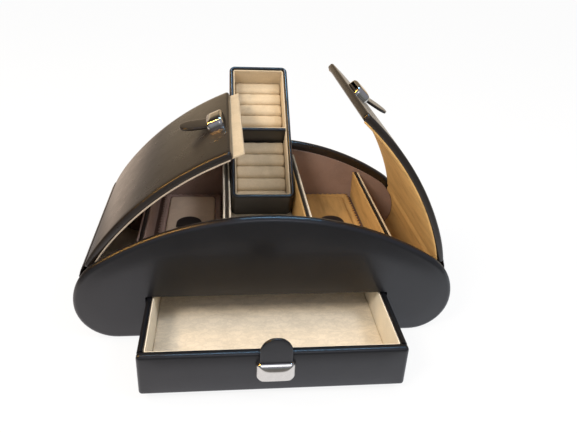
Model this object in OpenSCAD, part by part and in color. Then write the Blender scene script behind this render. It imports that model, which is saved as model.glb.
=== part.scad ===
// Half-moon ring and jewellery case: two padded end panels, two arched lids
// hinged at the sides, a drawer below and a lift-out ring box in the middle.
// Millimetres. +X right, +Y to the back, +Z up. The origin is the centre of
// the case's foot on the surface that it stands on.

/* [Case] */
// Overall width across the end panels
case_w = 300; // [290:1:310]
// Overall depth over both end panels
case_depth = 176; // [170:1:190]
// Height of the arched top above the table
case_h = 107; // [104:0.5:110]
// Radius of the shoulders
shoulder_r = 43.75; // [43:0.25:46]
// Height at which the case is widest
waist_z = 32; // [29:0.5:34]
// Thickness of a padded end panel
panel_t = 9; // [7:0.5:10]
// Thickness of the leather-covered case boards
board_t = 5; // [4:0.25:6]
// Thickness of the velour linings
lining_t = 1.2; // [0.8:0.1:1.6]
// How far boards and lids sit inside the panels' edge
edge_inset = 0.8; // [0.5:0.1:1.5]
// Thickness of the felt under the base
felt_t = 0.8; // [0.5:0.1:1.5]
// How far the felt stops before the foot's round corners
felt_inset = 4; // [2:0.5:10]
// Thickness of the lining boards on the end panels
ledge_t = 3; // [2:0.25:4]
// How far the lining boards stop below the panels' edge
ledge_inset = 7.4; // [7.2:0.1:9]

/* [Compartments] */
// Underside of the floor over the drawer
floor_z = 41.3; // [41:0.1:44]
// Thickness of the floor board
floor_t = 4; // [3:0.25:5]
// Thickness of a divider's leather core
divider_t = 3; // [2:0.25:4]
// Thickness of the velour on a divider
divider_lining_t = 1.6; // [1:0.1:2]
// Clearance between the ring box and each centre divider's velour
well_gap = 1; // [0.9:0.1:2]
// Height of the centre dividers' top
center_divider_z = 93; // [90:0.5:95]
// Width of a guide strip beside the drawer
runner_w = 3.7; // [3:0.1:6]
// Height of the outer dividers' top
outer_divider_z = 74; // [70:0.5:75]
// Height of the centre well's raised pad
well_z = 57; // [56:0.25:57.5]
// Thickness of a lift-out floor pad
pad_t = 4.4; // [3:0.1:5]
// Pitch of the pinked edge of a floor pad
pinking = 3.2; // [2.5:0.1:5]
// Depth of the pinking
pinking_depth = 1.1; // [0.6:0.1:1.6]
// How far a pad's cushion stops before the pinking
pad_margin = 1.5; // [1:0.1:3]
// Thickness of a pad's pinked top sheet
fringe_t = 0.8; // [0.5:0.1:1]
// Corner radius of a pad's cushion
pad_corner = 2; // [1:0.25:4]
// Place of a pad tab's near end behind the middle of the case
tab_y = 2; // [0:0.25:6]
// Length of the straight part of a pad tab
tab_straight = 8; // [6:0.25:10]

/* [Lids] */
// Opening angle of the left lid
left_lid_angle = 22; // [21.5:0.5:60]
// Opening angle of the right lid
right_lid_angle = 40.2; // [30:0.2:60]
// Gap between a lid and each end panel
lid_end_gap = 0.75; // [0.5:0.25:2.5]
// Gap between the two lids when closed
lid_split = 0.8; // [0.6:0.1:2]
// Width of the velour lip on the left lid
lip_w = 8.2; // [6:0.2:10]
// Thickness of the velour lip
lip_t = 2.4; // [2:0.1:2.6]

/* [Hinges] */
// Angle round the shoulder from its joint with the arch down to the hinge
hinge_below_angle = 22; // [20:0.5:24]
// How far the hinge pin lies inside the panels' edge
hinge_inset = 3.75; // [3.7:0.05:4]
// Radius of a hinge knuckle
knuckle_r = 2.2; // [2:0.1:2.4]
// Radius of the hinge pin
pin_r = 1; // [0.8:0.05:1.2]
// Running clearance between pin and knuckle
pin_clearance = 0.1; // [0.08:0.01:0.12]
// Number of knuckles on one hinge
knuckles = 9; // [5:2:11]
// Length of a hinge strip
hinge_len = 132; // [100:1:140]
// Thickness of a hinge leaf
leaf_t = 0.8; // [0.6:0.1:1]
// Width of a hinge leaf
leaf_w = 10; // [8:0.5:11]

/* [Clasps] */
// Length of a clasp across the strap
clasp_len = 26.7; // [25.5:0.1:30]
// Width of a clasp along the strap
clasp_w = 16; // [12:0.5:18]
// Height of a clasp's crown
clasp_h = 7.4; // [7:0.1:9]
// Width of a strap
strap_w = 22.6; // [20:0.1:23]
// Thickness of a strap
strap_t = 2.2; // [1.6:0.1:2.4]
// Distance of a lid clasp's centre from the lids' meeting line
clasp_place = 12; // [11:0.5:18]
// Reach of a lid strap beyond the clasp's centre
strap_reach = 29; // [25:0.5:34]
// Angle to which the left lid's strap is lifted
left_strap_angle = 17.3; // [5:0.1:18]
// Angle to which the right lid's strap is lifted
right_strap_angle = 12.7; // [5:0.1:18]

/* [Drawer] */
// Distance of the drawer from each side of the case
drawer_side = 55.9; // [55.5:0.1:60]
// Length of the drawer
drawer_len = 150; // [120:1:155]
// Height of the drawer
drawer_h = 33.6; // [30:0.1:34]
// Thickness of the drawer's leather walls
drawer_wall = 4.5; // [3.5:0.1:6]
// Thickness of the padded drawer front
drawer_front_t = 7; // [6:0.25:9]
// Thickness of the drawer's bottom board
drawer_bottom_t = 2.4; // [1.6:0.1:4]
// Thickness of the velour floor pad in the drawer
drawer_pad_t = 3; // [2:0.25:5]
// How far the drawer is pulled out
drawer_out = 68.9; // [0:0.1:110]
// Running gap between the drawer and its opening
drawer_gap = 0.8; // [0.5:0.05:0.9]
// Height of the tab's top above the drawer's bottom
tab_top = 48.4; // [44:0.1:52]
// Height of the drawer clasp above the drawer's bottom
drawer_clasp_z = 21; // [18:0.25:22]

/* [Ring box] */
// Length of the ring box
ring_box_len = 145; // [135:0.5:148]
// Width of the ring box
ring_box_w = 56; // [52:0.1:56.5]
// Height of the ring box
ring_box_h = 33.4; // [30:0.1:35]
// Tilt of the ring box, propped on the back panel
ring_box_tilt = 36.7; // [36:0.1:37.5]
// Thickness of the ring box's leather walls
ring_box_wall = 3.6; // [3:0.1:4.5]
// Corner radius of the ring box
ring_box_corner = 5.5; // [5:0.25:8]
// Thickness of the ring box's bottom
ring_box_bottom_t = 3; // [2:0.1:4]
// Thickness of the ring box's partition
partition_t = 3.4; // [2.5:0.1:5]
// Depth of the ring rolls' tops below the rim
roll_depth = 17.5; // [15:0.1:19]
// Rolls in each half of the ring box
rolls = 5; // [4:1:6]

/* [Hidden] */
$fn = 96;

// Clearance between pieces that move apart
seat_gap = 0.3;
// Overlap of cutting shapes past the faces they cut
cut = 1;
// Overlap of pieces of one solid
weld = 0.02;
// How far a board's turned edge stands proud of its faces
edge_bead = 0.05;

leather = "#26262a";
velour = "#dcc6a2";
satin = "#a87c42";
steel = "#c8c4bc";

// Outline of the end panels: one top arch, two shoulders and two foot corners,
// each tangent to the next; joint_far lies on the line that parts arch and shoulder
shoulder_x = case_w/2 - shoulder_r;
arch_r = (pow(shoulder_x, 2) + pow(case_h - waist_z, 2) - pow(shoulder_r, 2))
         / (2*(case_h - waist_z - shoulder_r));
arch_z = case_h - arch_r;
foot_r = waist_z;
foot_x = case_w/2 - foot_r;
shoulder_a = atan2(waist_z - arch_z, shoulder_x);
joint_far = [shoulder_x + case_h*cos(shoulder_a), waist_z + case_h*sin(shoulder_a)];
// The padded edges are rounded in steps, each between two angles on the round
// edge: one gives how far in the step begins, the other how much of a face it
// leaves away, both to a twentieth of a millimetre
round_steps = [[0, 20], [36, 42], [54, 64], [74, 90]];
function step_in(step, t) = round(10*t*(1 - cos(step[0])))/20;
function step_off(step, t) = round(10*t*(1 - sin(step[1])))/20;
bay_len = case_depth - 2*panel_t;
panel_y = (case_depth - panel_t)/2;
inner_len = bay_len - 2*ledge_t;
board_inset = edge_inset + board_t;
skin_inset = board_inset + lining_t;

drawer_w = case_w - 2*drawer_side;
outer_divider_x = drawer_w/2 + drawer_gap/2 + runner_w + divider_t/2;
center_divider_x = ring_box_w/2 + well_gap + divider_lining_t + divider_t/2;
floor_top = floor_z + floor_t;
core_inner_x = outer_divider_x - divider_t/2;
core_outer_x = outer_divider_x + divider_t/2;
base_top = edge_inset + board_t;

// The hinge axis on the shoulder arc, to a whole degree, and where the boards
// stop beside it
hinge_angle = round(shoulder_a - hinge_below_angle);
hinge_r = shoulder_r - hinge_inset;
hinge_x = shoulder_x + hinge_r*cos(hinge_angle);
hinge_z = waist_z + hinge_r*sin(hinge_angle);
board_mid_r = shoulder_r - edge_inset - board_t/2;
end_step = 2*asin((knuckle_r + seat_gap + 0.1 + board_t/2)/(2*board_mid_r));
case_end_a = hinge_angle - end_step;
lid_end_a = hinge_angle + end_step;
leaf_r = shoulder_r - board_inset;
leaf_span = leaf_w/leaf_r*180/PI;
leaf_start = (knuckle_r + 0.8)/leaf_r*180/PI;
leaf_gap = 0.1;
knuckle_len = hinge_len/knuckles;

lid_len = bay_len - 2*lid_end_gap;
lid_outer_r = arch_r - edge_inset;
lid_inner_r = lid_outer_r - board_t;
lid_skin_r = lid_inner_r - lining_t;
rebate_r = lid_skin_r + lip_t + seat_gap;
lip_reach = lid_split/2 + lip_w;

clasp_slot = strap_w + 2*seat_gap;
clasp_slot_h = strap_t + 2*seat_gap;
// How far the clasp's crown falls towards its ends and its sides
crown_fall_x = 1.4;
crown_fall_y = 1.6;
// Where a strap bends up, from the clasp's centre
strap_bend = clasp_w/4;

drawer_z = base_top + seat_gap;
drawer_y = -case_depth/2 - drawer_out;
drawer_inner_w = drawer_w - 2*drawer_wall;
drawer_inner_len = drawer_len - drawer_front_t - drawer_wall;

ring_box_z = well_z + seat_gap;
ring_box_y = panel_y - (panel_t/2 + seat_gap
             + (case_h - panel_t/2 - ring_box_z)*cos(ring_box_tilt))/sin(ring_box_tilt);
ring_box_in_w = ring_box_w - 2*ring_box_wall;
ring_box_in_len = ring_box_len - 2*ring_box_wall;
bed_w = ring_box_in_w - 2*lining_t;
section_len = (ring_box_in_len - 2*lining_t - partition_t - lining_t)/2;
partition_y = ring_box_wall + lining_t + section_len;
roll_pitch = section_len/rolls;
roll_r = (ring_box_h - roll_depth - ring_box_bottom_t)/2;

// Angle, at radius r, of a distance d along the arc
function turn(d, r) = d/r*180/PI;

// Local x and y become the case's X and Z; local z points to the front
module upright() rotate([90, 0, 0]) children();

// Mirrors a right-hand piece to the left
module left_side() mirror([1, 0, 0]) children();

// A plain bent sheet between two radii
module sheet_arc(r_in, r_out, len, a0, a1)
  rotate([0, 0, a0])
    rotate_extrude(angle = a1 - a0, $fn = 240)
      translate([r_in, -len/2]) square([r_out - r_in, len]);

// What lies over the top arch
module over_arch() polygon([[-shoulder_x, waist_z], [shoulder_x, waist_z], joint_far,
                            [-joint_far[0], joint_far[1]]]);

// What lies over the right shoulder
module over_shoulder() polygon([[shoulder_x, waist_z], [case_w, waist_z], joint_far]);

// The panels' outline, drawn inward by inset
module outline(inset) {
  translate([-foot_x, inset]) square([2*foot_x, waist_z - inset]);
  intersection() {
    translate([0, arch_z]) circle(arch_r - inset, $fn = 360);
    over_arch();
  }
  for (s = [0, 1]) mirror([s, 0]) {
    intersection() {
      translate([shoulder_x, waist_z]) circle(shoulder_r - inset);
      over_shoulder();
    }
    intersection() {
      translate([foot_x, waist_z]) circle(foot_r - inset);
      translate([foot_x, 0]) square([foot_r, waist_z]);
    }
  }
}

// An end panel without cut-outs, upright at y = 0
module panel_blank() upright() for (s = round_steps)
  linear_extrude(panel_t - 2*step_off(s, panel_t), center = true)
    outline(step_in(s, panel_t));

module front_panel() color(leather)
  translate([0, -panel_y, 0]) difference() {
    panel_blank();
    translate([-drawer_w/2 - drawer_gap, -panel_t/2 - cut, drawer_z - drawer_gap])
      cube([drawer_w + 2*drawer_gap, panel_t + 2*cut, drawer_h + 2*drawer_gap]);
  }

module back_panel() color(leather)
  translate([0, panel_y, 0]) panel_blank();

// Lining board of an end panel; the closed lids rest on its arched edge
module ledge(bay) upright() linear_extrude(ledge_t, center = true)
  difference() {
    outline(ledge_inset);
    translate([-case_w/2, 0]) square([case_w, base_top]);
    if (bay)
      translate([-core_inner_x, 0]) square([2*core_inner_x, floor_top]);
  }

module front_ledge() color(satin)
  translate([0, -(bay_len - ledge_t)/2, 0]) ledge(true);

module back_ledge() color(satin)
  translate([0, (bay_len - ledge_t)/2, 0]) difference() {
    ledge(false);
    translate([-core_inner_x, -ledge_t, floor_z])
      cube([2*core_inner_x, 2*ledge_t, floor_t]);
  }

module base_board() color(leather)
  translate([-foot_x, -bay_len/2, edge_inset]) cube([2*foot_x, bay_len, board_t]);

module base_felt() color("#1c1c1e")
  translate([-foot_x + felt_inset, -bay_len/2, edge_inset - felt_t])
    cube([2*(foot_x - felt_inset), bay_len, felt_t]);

module floor_board() color(satin)
  translate([-core_inner_x, -bay_len/2, floor_z])
    cube([2*core_inner_x, bay_len, floor_t]);

// Point at distance r from the right shoulder's centre, at angle a
function on_shoulder(r, a) = [shoulder_x + r*cos(a), waist_z + r*sin(a)];

// Section of a board that follows the outline between two insets, in a region
module board_section(outer, inner, region) intersection() {
  difference() {
    outline(outer);
    outline(inner);
  }
  polygon(region);
}

// Regions of a side, from X = x0 up to the hinge, and of a lid, from the hinge
// to the angle a on the top arch
function side_region(x0) = [[x0, 0], [case_w, 0], [case_w, waist_z],
  on_shoulder(case_h, case_end_a), [shoulder_x, waist_z], [x0, waist_z]];
function lid_region(a) = [[(waist_z - arch_z)/tan(a), waist_z], [shoulder_x, waist_z],
  on_shoulder(case_h, lid_end_a), [case_w*cos(a), arch_z + case_w*sin(a)]];

// Turned edge of a board, t thick, round a centre point
module turned_edge(t, point) translate(point) circle(d = t + 2*edge_bead, $fn = 48);

// Bent side board from the base up to the hinge, with the leaf let into it
module side_shell() color(leather) upright() difference() {
  linear_extrude(bay_len, center = true) {
    board_section(edge_inset, board_inset, side_region(foot_x));
    turned_edge(board_t, on_shoulder(board_mid_r, case_end_a));
  }
  translate([shoulder_x, waist_z, 0])
    leaf_recess(hinge_angle - leaf_start - leaf_span, hinge_angle - leaf_start);
}

// Pocket for a hinge leaf on the inside of a board
module leaf_recess(a0, a1)
  sheet_arc(leaf_r - cut, leaf_r + leaf_t, hinge_len + 2*leaf_gap,
            a0 - leaf_gap, a1 + leaf_gap);

module left_side_shell() left_side() side_shell();
module right_side_shell() side_shell();

module side_lining() color(satin) upright() linear_extrude(inner_len, center = true)
  board_section(board_inset, skin_inset, side_region(core_outer_x));

module left_side_lining() left_side() side_lining();
module right_side_lining() side_lining();

// Leather core of a divider, rounded on top
module divider_core(x, z0, z1) color(leather) translate([x, 0, 0]) {
  translate([-divider_t/2, -inner_len/2, z0])
    cube([divider_t, inner_len, z1 - z0 - divider_t/2]);
  translate([0, 0, z1 - divider_t/2]) rotate([90, 0, 0])
    cylinder(d = divider_t, h = inner_len, center = true, $fn = 48);
}

// Velour on both faces of a divider, each side from its own height
module divider_velour(x, inner_z, outer_z, z1) color(velour) {
  top = z1 - divider_t/2;
  translate([x - divider_t/2 - divider_lining_t, -inner_len/2, inner_z])
    cube([divider_lining_t, inner_len, top - inner_z]);
  translate([x + divider_t/2, -inner_len/2, outer_z])
    cube([divider_lining_t, inner_len, top - outer_z]);
}

module right_outer_divider() divider_core(outer_divider_x, base_top, outer_divider_z);
module left_outer_divider() left_side() right_outer_divider();
module right_center_divider() divider_core(center_divider_x, floor_top, center_divider_z);
module left_center_divider() left_side() right_center_divider();
module right_outer_divider_velour()
  divider_velour(outer_divider_x, floor_top, base_top + lining_t, outer_divider_z);
module left_outer_divider_velour() left_side() right_outer_divider_velour();
module right_center_divider_velour()
  divider_velour(center_divider_x, floor_top, floor_top, center_divider_z);
module left_center_divider_velour() left_side() right_center_divider_velour();

module well_pad() color(velour) {
  half = center_divider_x - divider_t/2 - divider_lining_t;
  translate([-half, -inner_len/2, floor_top]) cube([2*half, inner_len, well_z - floor_top]);
}

// Guide strip beside the drawer
module drawer_runner() color(leather)
  translate([drawer_w/2 + drawer_gap/2, -bay_len/2, base_top])
    cube([runner_w, bay_len - ledge_t, drawer_h/3]);

module left_drawer_runner() left_side() drawer_runner();
module right_drawer_runner() drawer_runner();

// One leaf of a hinge strip. side is 1 for the lid's leaf above the pin and -1
// for the case's leaf below it; first is the knuckle that it starts with.
module hinge_leaf(side, first) color(steel) upright() {
  a0 = hinge_angle + side*leaf_start;
  a1 = a0 + side*leaf_span;
  translate([shoulder_x, waist_z, 0]) difference() {
    union() {
      sheet_arc(leaf_r, leaf_r + leaf_t, hinge_len, min(a0, a1), max(a0, a1));
      for (k = [first:2:knuckles - 1])
        translate([0, 0, (k + 0.5)*knuckle_len - hinge_len/2]) {
          finger = knuckle_len - seat_gap;
          sheet_arc(leaf_r, leaf_r + leaf_t, finger,
                    min(hinge_angle, a0) - weld, max(hinge_angle, a0) + weld);
          rotate([0, 0, hinge_angle]) translate([hinge_r, 0, 0])
            cylinder(r = knuckle_r, h = finger, center = true, $fn = 48);
        }
    }
    rotate([0, 0, hinge_angle]) translate([hinge_r, 0, 0])
      cylinder(r = pin_r + pin_clearance, h = hinge_len + 2*cut, center = true, $fn = 48);
  }
}

module right_case_leaf() hinge_leaf(-1, 0);
module left_case_leaf() left_side() right_case_leaf();

module right_hinge_pin() color(steel) translate([hinge_x, 0, hinge_z])
  rotate([90, 0, 0]) cylinder(r = pin_r, h = hinge_len, center = true, $fn = 48);
module left_hinge_pin() left_side() right_hinge_pin();

// Turns a closed right lid open about its hinge
module open_lid(angle) translate([hinge_x, 0, hinge_z]) rotate([0, angle, 0])
  translate([-hinge_x, 0, -hinge_z]) children();

// Section of a lid board from its free edge to the hinge, thinner by drop on
// each face
module lid_section(edge, drop) {
  mid_r = lid_outer_r - board_t/2;
  a = 90 - turn(edge + board_t/2, mid_r);
  board_section(edge_inset + drop, board_inset - drop, lid_region(a));
  turned_edge(board_t - 2*drop, [mid_r*cos(a), arch_z + mid_r*sin(a)]);
  turned_edge(board_t - 2*drop, on_shoulder(board_mid_r, lid_end_a));
}

// Leather-covered lid board, closed, as a right lid. edge is the X of its free
// edge; a rebate of that width in from the edge thins it for the other's lip.
module lid_board(edge, rebate) color(leather) upright() difference() {
  for (s = round_steps)
    linear_extrude(lid_len - 2*step_in(s, board_t), center = true)
      lid_section(edge, step_off(s, board_t));
  translate([shoulder_x, waist_z, 0])
    leaf_recess(hinge_angle + leaf_start, hinge_angle + leaf_start + leaf_span);
  if (rebate > 0)
    translate([0, arch_z, 0])
      sheet_arc(lid_inner_r - cut, rebate_r, lid_len + 2*cut,
                90 - turn(edge + rebate, lid_inner_r), 90);
}

// Velour on the inside of a lid, up to X = edge
module lid_velour(edge) color(satin) upright() linear_extrude(lid_len - board_t, center = true)
  board_section(board_inset, skin_inset, lid_region(90 - turn(edge, lid_inner_r)));

module right_lid_shell() open_lid(right_lid_angle)
  lid_board(lid_split/2, lip_w + lid_split + seat_gap);
module left_lid_shell() left_side() open_lid(left_lid_angle) lid_board(lid_split/2, 0);
module right_lid_lining() open_lid(right_lid_angle)
  lid_velour(lip_reach + 2*lid_split + board_t/2);
module left_lid_lining() left_side() open_lid(left_lid_angle) lid_velour(lid_split/2);

// Velour lip that closes the joint between the lids
module left_lid_lip() left_side() open_lid(left_lid_angle) color(velour) upright()
  translate([0, arch_z, 0])
    sheet_arc(lid_skin_r, lid_skin_r + lip_t, lid_len - board_t,
              90 - turn(lid_split/2, lid_skin_r), 90 + turn(lip_w, lid_skin_r));

module right_lid_leaf() open_lid(right_lid_angle) hinge_leaf(1, 1);
module left_lid_leaf() left_side() open_lid(left_lid_angle) hinge_leaf(1, 1);

// Places a piece on a closed right lid's outside: local +x runs towards the
// hinge, +y across the strap and +z out of the lid
module on_lid() translate([0, 0, arch_z])
  rotate([0, turn(clasp_place, lid_outer_r), 0]) translate([0, 0, lid_outer_r])
    children();

// A leather strap: a flat root under the clasp and a lifted rounded tip
module strap(lift, root, reach) color(leather) intersection() {
  end = reach + cut;
  rise = (end - strap_bend)*tan(lift);
  upright() linear_extrude(strap_w, center = true)
    polygon([[-root, 0], [strap_bend, 0], [end, rise], [end, rise + strap_t/cos(lift)],
             [strap_bend - strap_t*tan(lift/2), strap_t], [-root, strap_t]]);
  translate([0, 0, -cut]) linear_extrude(case_h) {
    translate([-root - cut, -strap_w/2 - cut])
      square([root + cut + reach - strap_w/2, strap_w + 2*cut]);
    translate([reach - strap_w/2, 0]) circle(d = strap_w);
  }
}

// A domed metal loop over a strap, on its two side feet
module clasp(lift) color(steel) difference() {
  crown_x = (clasp_w*clasp_w/4 + crown_fall_x*crown_fall_x)/(2*crown_fall_x);
  crown_y = (clasp_len*clasp_len/4 + crown_fall_y*crown_fall_y)/(2*crown_fall_y);
  intersection() {
    linear_extrude(2*clasp_h) rounded_rect(clasp_w, clasp_len, 4);
    translate([0, 0, clasp_h - crown_x]) rotate([90, 0, 0])
      cylinder(r = crown_x, h = 2*clasp_len, center = true);
    translate([0, 0, clasp_h - crown_y]) rotate([0, 90, 0])
      cylinder(r = crown_y, h = 2*clasp_w, center = true, $fn = 180);
  }
  upright() linear_extrude(clasp_slot, center = true)
    polygon([[-clasp_w, -cut], [clasp_w, -cut],
             [clasp_w, clasp_slot_h/cos(lift) + (clasp_w - strap_bend)*tan(lift)],
             [strap_bend - clasp_slot_h*tan(lift/2), clasp_slot_h], [-clasp_w, clasp_slot_h]]);
}

// A rectangle centred on the origin with round corners
module rounded_rect(w, d, r) {
  square([w - 2*r, d], center = true);
  square([w, d - 2*r], center = true);
  for (x = [-1, 1], y = [-1, 1])
    translate([x*(w/2 - r), y*(d/2 - r)]) circle(r);
}

module lid_strap(lift) translate([0, 0, seat_gap]) strap(lift, clasp_w/2, strap_reach);

module right_lid_strap() open_lid(right_lid_angle) on_lid() lid_strap(right_strap_angle);
module left_lid_strap() left_side() open_lid(left_lid_angle) on_lid()
  lid_strap(left_strap_angle);
module right_lid_clasp() open_lid(right_lid_angle) on_lid() clasp(right_strap_angle);
module left_lid_clasp() left_side() open_lid(left_lid_angle) on_lid() clasp(left_strap_angle);

// Lift-out floor pad with a pinked edge
pad_x0 = center_divider_x + divider_t/2 + divider_lining_t + seat_gap;
pad_x1 = core_inner_x - divider_lining_t - seat_gap;
pad_w = pad_x1 - pad_x0;
pad_len = inner_len - 2*seat_gap;
pad_top = floor_top + seat_gap + pad_t;

// Teeth along one side of length w, from the origin along +x
function teeth(w) = let (n = round(w/pinking))
  [for (i = [0:n - 1]) each [[i*w/n, 0], [(i + 0.5)*w/n, pinking_depth]]];
function placed(points, x, y, a) =
  [for (p = points) [x + p[0]*cos(a) - p[1]*sin(a), y + p[0]*sin(a) + p[1]*cos(a)]];

module pinked_sheet(w, len) polygon(concat(
  placed(teeth(w), -w/2, -len/2, 0), placed(teeth(len), w/2, -len/2, 90),
  placed(teeth(w), w/2, len/2, 180), placed(teeth(len), -w/2, len/2, 270)));

module floor_pad() color(velour) translate([(pad_x0 + pad_x1)/2, 0, floor_top + seat_gap]) {
  margin = 2*(pinking_depth + pad_margin);
  linear_extrude(pad_t - fringe_t + weld)
    rounded_rect(pad_w - margin, pad_len - margin, pad_corner);
  translate([0, 0, pad_t - fringe_t]) linear_extrude(fringe_t) pinked_sheet(pad_w, pad_len);
}

// Half-round leather tab in the middle of a floor pad
module pad_tab() color(leather) translate([(pad_x0 + pad_x1)/2, tab_y, pad_top])
  linear_extrude(strap_t) {
    translate([-strap_w/2, 0]) square([strap_w, tab_straight]);
    translate([0, tab_straight]) intersection() {
      circle(d = strap_w);
      translate([-strap_w/2, 0]) square(strap_w);
    }
  }

module right_floor_pad() floor_pad();
module left_floor_pad() left_side() floor_pad();
module right_pad_tab() pad_tab();
module left_pad_tab() left_side() pad_tab();

// Puts the drawer's own frame, front bottom edge at the origin, into the case
module in_drawer() translate([0, drawer_y, drawer_z]) children();

// A wall of thickness t and height h with a half-round top
module wall_profile(t, h) {
  translate([-t/2, 0]) square([t, h - t/2]);
  translate([0, h - t/2]) circle(d = t, $fn = 48);
}

module drawer_front() color(leather) in_drawer() difference() {
  r = 2;
  translate([-drawer_w/2, 0, 0]) rotate([90, 0, 90]) linear_extrude(drawer_w)
    translate([drawer_front_t/2, drawer_h/2]) rounded_rect(drawer_front_t, drawer_h, r);
  for (s = [-1, 1]) translate([s*drawer_w/2, 0, -cut]) corner_cut(s, r, drawer_h + 2*cut);
}

// Rounds the vertical front corner of a block that ends at x = 0, on side s
module corner_cut(s, r, h) linear_extrude(h) difference() {
  translate([-r, -r]) square(2*r);
  translate([-s*r, r]) circle(r, $fn = 48);
  translate([s > 0 ? -3*r : r, -r]) square(2*r);
}

// Side and back walls of the drawer with rounded rims
module drawer_shell() color(leather) in_drawer() {
  t = drawer_wall;
  r = t;
  side_len = drawer_len - drawer_front_t - r;
  for (s = [-1, 1]) {
    translate([s*(drawer_w - t)/2, drawer_front_t, 0]) rotate([90, 0, 180])
      linear_extrude(side_len) wall_profile(t, drawer_h);
    translate([s*(drawer_w/2 - r), drawer_len - r, 0]) rotate([0, 0, s > 0 ? 0 : 90])
      rotate_extrude(angle = 90) intersection() {
        translate([r - t/2, 0]) wall_profile(t, drawer_h);
        square([2*r, drawer_h]);
      }
  }
  translate([-drawer_w/2 + r, drawer_len - t/2, 0]) rotate([90, 0, 90])
    linear_extrude(drawer_w - 2*r) wall_profile(t, drawer_h);
}

module drawer_bottom() color(leather) in_drawer()
  translate([-drawer_inner_w/2, drawer_front_t, 0])
    cube([drawer_inner_w, drawer_inner_len, drawer_bottom_t]);

// Velour on the four inner walls of the drawer
module drawer_lining() color(velour) in_drawer() translate([0, drawer_front_t, drawer_bottom_t])
  linear_extrude(drawer_h - drawer_bottom_t - drawer_wall/2) difference() {
    translate([-drawer_inner_w/2, 0]) square([drawer_inner_w, drawer_inner_len]);
    translate([-drawer_inner_w/2 + lining_t, lining_t])
      square([drawer_inner_w - 2*lining_t, drawer_inner_len - 2*lining_t]);
  }

module drawer_floor_pad() color(velour) in_drawer()
  translate([-drawer_inner_w/2 + lining_t, drawer_front_t + lining_t, drawer_bottom_t])
    cube([drawer_inner_w - 2*lining_t, drawer_inner_len - 2*lining_t, drawer_pad_t]);

// Local +x up the drawer's face and +z out of it, from the clasp's centre
module on_drawer_face() in_drawer() translate([0, 0, drawer_clasp_z])
  rotate([0, -90, 90]) children();

module drawer_tab() on_drawer_face() translate([0, 0, seat_gap])
  strap(0, clasp_w/2, tab_top - drawer_clasp_z);
module drawer_clasp() on_drawer_face() clasp(0);

// Puts the ring box's own frame, near bottom edge at the origin, into the case
module in_ring_box() translate([0, ring_box_y, ring_box_z])
  rotate([ring_box_tilt, 0, 0]) children();

// Four walls with rounded corners and a half-round rim
module ring_box_shell() color(leather) in_ring_box() {
  t = ring_box_wall;
  c = ring_box_corner;
  for (s = [-1, 1]) {
    translate([s*(ring_box_w - t)/2, ring_box_len - c, 0]) rotate([90, 0, 0])
      linear_extrude(ring_box_len - 2*c) wall_profile(t, ring_box_h);
    translate([0, s > 0 ? ring_box_len - t/2 : t/2, 0]) rotate([90, 0, 90])
      linear_extrude(ring_box_w - 2*c, center = true) wall_profile(t, ring_box_h);
  }
  for (k = [0:3])
    translate([(k == 0 || k == 3 ? 1 : -1)*(ring_box_w/2 - c), k < 2 ? ring_box_len - c : c, 0])
      rotate([0, 0, 90*k]) rotate_extrude(angle = 90)
        translate([c - t/2, 0]) wall_profile(t, ring_box_h);
}

module ring_box_base() color(leather) in_ring_box()
  translate([0, ring_box_len/2, 0]) linear_extrude(ring_box_bottom_t)
    rounded_rect(ring_box_in_w, ring_box_in_len, ring_box_corner - ring_box_wall);

// Velour on the inside of the walls and on the far face of the partition
module ring_box_lining() color(velour) in_ring_box()
  translate([0, 0, ring_box_bottom_t]) {
    r = ring_box_corner - ring_box_wall;
    linear_extrude(ring_box_h - ring_box_bottom_t - ring_box_wall/2) difference() {
      translate([0, ring_box_len/2]) rounded_rect(ring_box_in_w, ring_box_in_len, r);
      translate([-bed_w/2, ring_box_wall + lining_t])
        square([bed_w, ring_box_in_len - 2*lining_t]);
    }
    translate([-bed_w/2, partition_y + partition_t, 0])
      cube([bed_w, lining_t, ring_box_h - ring_box_bottom_t - partition_t/2]);
  }

module ring_box_partition() color(leather) in_ring_box()
  translate([-bed_w/2, partition_y + partition_t/2, ring_box_bottom_t]) rotate([90, 0, 90])
    linear_extrude(bed_w) wall_profile(partition_t, ring_box_h - ring_box_bottom_t);

// One half's soft rolls, side by side on the bottom; rings stand between them
module ring_rolls(y0) color(velour) in_ring_box()
  for (i = [0:rolls - 1])
    translate([0, y0 + (i + 0.5)*roll_pitch, ring_box_bottom_t + roll_r])
      rotate([0, 90, 0]) cylinder(r = min(roll_r, roll_pitch/2), h = bed_w, center = true);

module near_ring_rolls() ring_rolls(ring_box_wall + lining_t);
module far_ring_rolls() ring_rolls(partition_y + partition_t + lining_t);

front_panel();
back_panel();
front_ledge();
back_ledge();
base_board();
base_felt();
floor_board();
left_side_shell();
right_side_shell();
left_side_lining();
right_side_lining();
left_outer_divider();
right_outer_divider();
left_center_divider();
right_center_divider();
left_outer_divider_velour();
right_outer_divider_velour();
left_center_divider_velour();
right_center_divider_velour();
well_pad();
left_drawer_runner();
right_drawer_runner();
left_case_leaf();
right_case_leaf();
left_hinge_pin();
right_hinge_pin();
left_lid_shell();
left_lid_lining();
left_lid_lip();
left_lid_leaf();
left_lid_strap();
left_lid_clasp();
right_lid_shell();
right_lid_lining();
right_lid_leaf();
right_lid_strap();
right_lid_clasp();
left_floor_pad();
left_pad_tab();
right_floor_pad();
right_pad_tab();
drawer_front();
drawer_shell();
drawer_bottom();
drawer_lining();
drawer_floor_pad();
drawer_tab();
drawer_clasp();
ring_box_shell();
ring_box_base();
ring_box_lining();
ring_box_partition();
near_ring_rolls();
far_ring_rolls();
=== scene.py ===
"""Half-moon ring and jewellery case in padded black leather with velour linings.

Builds the leather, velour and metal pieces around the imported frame. All sizes
are in metres in the frame's own axes: +X right, +Y to the back, +Z up.
"""
import math

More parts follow.
